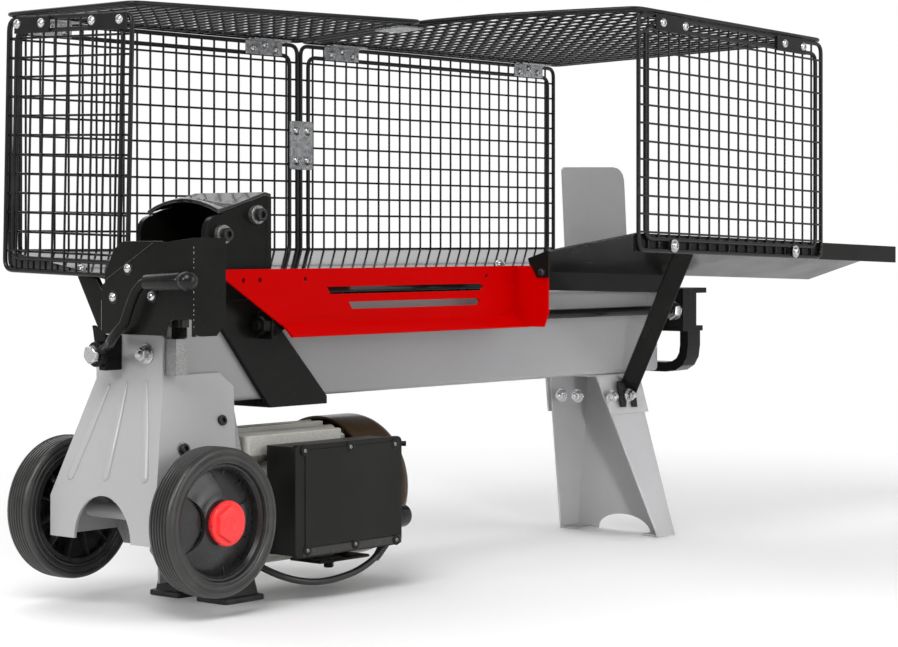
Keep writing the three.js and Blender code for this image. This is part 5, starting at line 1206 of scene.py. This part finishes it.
def makeHardware():
    sizes = hardware
    front, near = (-1, 0, 0), (0, -1, 0)
    bright, dark, steel, ramDark, ramSteel, ramNuts = (bmesh.new() for _ in range(6))
    for place in sizes["guardBolts"]:
        addDomeHead(bright, at(*place), front, *heads["guard"])
        addTurned(dark, [(0.0052, 0.0), (0.0066, 0.0), (0.0066, 0.0005), (0.0052, 0.0007)], at(*place), front,
                  28, closed=True)
    neck = at(*sizes["neckNut"])
    addTurned(bright, [(0, 0), (0.0098, 0), (0.0098, 0.0016), (0.0092, 0.002), (0, 0.002)], neck, front, 36)
    addTurned(bright, [(0, 0.002), (0.0072, 0.002), (0.0070, 0.0034), (0, 0.0034)], neck, front, 36)
    addHexHead(bright, neck + Vector((-0.0034, 0, 0)), front, *hexes["neck"])
    addTurned(bright, [(0, 0.010), (0.0036, 0.010), (0.0036, 0.0125), (0.0028, 0.0136), (0, 0.0138)], neck, front, 24)
    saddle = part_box("rear_leg_saddle")[0]
    level = sizes["saddleHeight"]
    feet = [
        (Vector((atX(x), saddle.y - out, level)), near)
        for x, out in zip(sizes["saddleBolts"], (0.0, sizes["forkThickness"]))]
    feet += [(Vector((saddle.x, atY(y), level)), front) for y in sizes["saddleEndBolts"]]
    for foot, way in feet:
        addHexHead(bright, foot, way, *hexes["saddle"])
        addTurned(bright, [(0, 0.007), (0.0034, 0.007), (0.0034, 0.0096), (0.0028, 0.0104), (0, 0.0106)], foot, way, 20)
    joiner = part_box("back_joiner_plate")[0]
    for x, z in sizes["joinerBolts"]:
        addDomeHead(bright, Vector((atX(x), joiner.y, z)), near, *heads["joiner"])
    for i in range(1, 5):
        low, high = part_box(f"hinge_clamp_{i}")
        for along, up in sizes["clampBolts"]:
            addDomeHead(bright, Vector((low.x + along, high.y - 0.0022, low.z + up)), near, *heads["clamp"])
    addDomeHead(dark, at(*sizes["tabBolt"]), front, *heads["tab"])
    for x, y in sizes["tableBolts"]:
        hit, place, normal, _ = nodes["back_table"].ray_cast(at(x, y, 0.5), (0, 0, -1))
        if hit:
            addDomeHead(bright, place, normal, *heads["table"])
    nut = at(*sizes["crossheadNut"])
    for side in (-1, 1):
        for x, z in sizes["pusherBolts"]:
            foot = Vector((atX(x), beamY + side * sizes["pusherSide"], z))
            addTurned(ramSteel, [(0, 0), (0.0096, 0), (0.0096, 0.0052), (0.0090, 0.0058), (0, 0.0058)], foot,
                      (0, side, 0), 36)
            addSocketHead(ramDark, foot + Vector((0, side * sizes["collarHeight"], 0)), (0, side, 0), *heads["pusher"])
        way = (0.0, side, sizes["legLean"])
        for x, y, z in sizes["legBolts"]:
            foot = at(x, -side * y, z)
            addTurned(steel, [(0, 0), (0.0072, 0), (0.0072, 0.0012), (0, 0.0012)], foot, way, 28)
            addSocketHead(dark, foot + Vector((0, side * 0.0012, 0)), way, *heads["leg"])
        foot = Vector((nut.x, beamY + side * (beamY - nut.y), nut.z))
        addHexHead(ramNuts, foot, front, *hexes["crosshead"])
    addBar(dark, *(at(*p) for p in sizes["bendLine"]), 0.0006, 10)
    for name, bm, finish, slot, body in (
            ("strut_foot_fork", footFork(saddle.y), "blackPaint", "black_paint", "frame"),
            ("bright_bolts", bright, "boltZinc", "galvanised", "frame"),
            ("guard_fold_marks", foldMarks(), "boltZinc", "galvanised", "frame"),
            ("dark_bolts", dark, "blackBolt", "black_paint", "frame"),
            ("leg_washers", steel, "washerSteel", "galvanised", "frame"),
            ("pusher_bolts", ramDark, "blackBolt", "black_paint", "ram"),
            ("pusher_washers", ramSteel, "washerSteel", "galvanised", "ram"),
            ("pusher_nuts", ramNuts, "boltZinc", "galvanised", "ram")):
        addPiece(name, bm, finish, body=body)


# Pressed ridges on the face of the front leg, and a black sheet of painted shade that shows through the slots of the
# tray
pressedSizes = {
    "ridges": (
        ((-0.0177, 0.0283, 0.216), (-0.0436, 0.0529, 0.131)), ((-0.0169, 0.0024, 0.2188), (-0.0430, 0.0021, 0.1325)),
        ((-0.0155, -0.0250, 0.2233), (-0.0425, -0.0531, 0.1345))),
    "halfWidth": 0.0052, "height": 0.0024, "taper": 0.55,
    "sheetLow": (0.25, 0.0800, 0.2895), "sheetHigh": (0.75, 0.0820, 0.3245),
}


def makeRidgesAndSlotShade():
    sizes = pressedSizes
    ridges = bmesh.new()
    for top, bottom in sizes["ridges"]:
        top, bottom = at(*top), at(*bottom)
        along = (top - bottom).normalized()
        normal = Vector((-1, 0, (top.x - bottom.x) / (top.z - bottom.z)))
        normal = (normal - along * normal.dot(along)).normalized()
        side = along.cross(normal)
        half = (top - bottom).length / 2
        ridge = bmesh.new()
        bmesh.ops.create_uvsphere(ridge, u_segments=28, v_segments=16, radius=sizes["halfWidth"])
        for vert in ridge.verts:
            x, y, z = vert.co
            shift = math.copysign(half, z) if abs(z) > 1e-6 else 0
            taper = sizes["taper"] if z > 0 else 1.0
            lift = normal * y * sizes["height"] / sizes["halfWidth"] * taper
            vert.co = (top + bottom) / 2 + side * x * taper + lift + along * (z + shift)
        join(ridges, ridge)
    addPiece("leg_ridges", ridges, "greyPaint", angle=50)
    # A black sheet behind the tray's slots is painted shade: it stands for the shade seen through them
    sheet = softBlock(at(*sizes["sheetLow"]), at(*sizes["sheetHigh"]), 0.0005)
    addPiece("slot_shade_sheet", sheet, "blackPaint")


makeCornerPlates()
makeHardware()
makeRidgesAndSlotShade()
print("fastenings made")

# CAD nodes that keep their shape, with rounded edges and a finish

softened = {
    "oil_tank_beam": ("beamShadedGrey", 0.0006), "beam_end_cap": ("beamShadedGrey", 0.0012), "front_leg": ("greyPaint", 0.0022),
    "rear_leg": ("greyPaint", 0.0011), "rear_leg_saddle": ("greyPaint", 0.0011),
    "splitting_wedge": ("greyPaint", 0.0009), "valve_block": ("castAluminium", 0.0012),
    "pump_housing": ("castAluminium", 0.0015), "log_tray": ("redPaint", 0.0007), "lever_guard": ("blackPaint", 0.001),
    "guard_carrier": ("blackPaint", 0.001), "lever_bracket": ("blackPaint", 0.0009),
    "back_table": ("tablePaint", 0.0008), "wing_table": ("tablePaint", 0.0008), "wing_strut": ("blackPaint", 0.0008),
    "back_strut": ("blackPaint", 0.002), "back_joiner_plate": ("galvanised", 0.0006),
    "lid_joiner_plate": ("galvanised", 0.0006), "ram_crosshead": ("blackPaint", 0.0014),
    "tie_rod_near": ("blackPaint", 0.0004), "tie_rod_far": ("blackPaint", 0.0004),
    "ram_carriage": ("blackPaint", 0.0014), "pusher_block": ("blackPaint", 0.0014),
    "pusher_hood": ("tablePaint", 0.0012), "rubber_foot_near": ("footRubber", 0.0015),
    "rubber_foot_far": ("footRubber", 0.0015), "foot_stand": ("greyPaint", 0.001),
    **{f"hinge_clamp_{i}": ("galvanised", 0.0006) for i in range(1, 5)},
}
keptPlain = {
    "hydraulic_cylinder": "turnedSteel", "piston": "turnedSteel", "piston_rod": "chromeRod",
    "wheel_axle": "greyPaint", "motor_rotor": "turnedSteel", "cooling_fan": "boxPlastic",
}
shapeSizes = {
    "guardWiden": 0.003, "trayCornerFrom": 0.48, "lipOut": 0.114, "lipHeight": 0.2658, "flangeHeight": 0.281,
    "flangeOut": 0.0903, "flangeFoot": 0.2655, "legTop": (-0.015, 0.225), "legSlope": 35 / 115,
    "wingBareFrom": 0.5005,
}


def widenGuard(bm):
    edge = max(v.co.y for v in bm.verts)
    for vert in bm.verts:
        if vert.co.y > edge - 0.0005:
            vert.co.y += shapeSizes["guardWiden"]


# The lip and the end flange of the tray meet at the corner
def closeTrayCorner(bm):
    sizes = shapeSizes
    for vert in bm.verts:
        across = vert.co.y - beamY
        if vert.co.x > atX(sizes["trayCornerFrom"]):
            if across < -0.1 and vert.co.z < 0.2725:
                vert.co.y, vert.co.z = beamY - sizes["lipOut"], sizes["lipHeight"]
            elif across < -0.1 and vert.co.z < 0.29:
                vert.co.z = sizes["flangeHeight"]
            elif 0.2742 < vert.co.z < 0.2752:
                vert.co.y, vert.co.z = beamY - sizes["flangeOut"], sizes["flangeFoot"]


# The pressed ridges of the leg are made as pieces of their own
def flattenRidges(bm):
    top, height = shapeSizes["legTop"]
    for vert in bm.verts:
        face = atX(top - shapeSizes["legSlope"] * (height - vert.co.z))
        if 0.118 < vert.co.z < 0.224 and vert.co.x < face - 0.0003:
            vert.co.x = face
    bmesh.ops.remove_doubles(bm, verts=bm.verts, dist=1e-5)
    bmesh.ops.dissolve_limit(bm, angle_limit=math.radians(1.2), verts=bm.verts, edges=bm.edges)


shaped = {
    "lever_guard": widenGuard, "guard_carrier": widenGuard, "log_tray": closeTrayCorner, "front_leg": flattenRidges,
}


def dressNodes():
    for node, (finish, width) in softened.items():
        bm = mergedCopy(node)
        if node in shaped:
            shaped[node](bm)
        bevelSharp(bm, width)
        piece = addPiece(f"{node}_finished", bm, finish, node, body=nodes[node]["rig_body"], weighted=True)
        if node == "wing_table":
            piece.data.materials.append(finishes["blackPaint"])
            for face in piece.data.polygons:
                bare = face.center.x < atX(shapeSizes["wingBareFrom"]) or face.normal.z < 0.93
                face.material_index = 1 if bare else 0
    for node, finish in keptPlain.items():
        mesh = nodes[node].data
        mesh.materials.clear()
        mesh.materials.append(finishes[finish])
        mesh.polygons.foreach_set("use_smooth", [True] * len(mesh.polygons))


dressNodes()
print("nodes dressed")
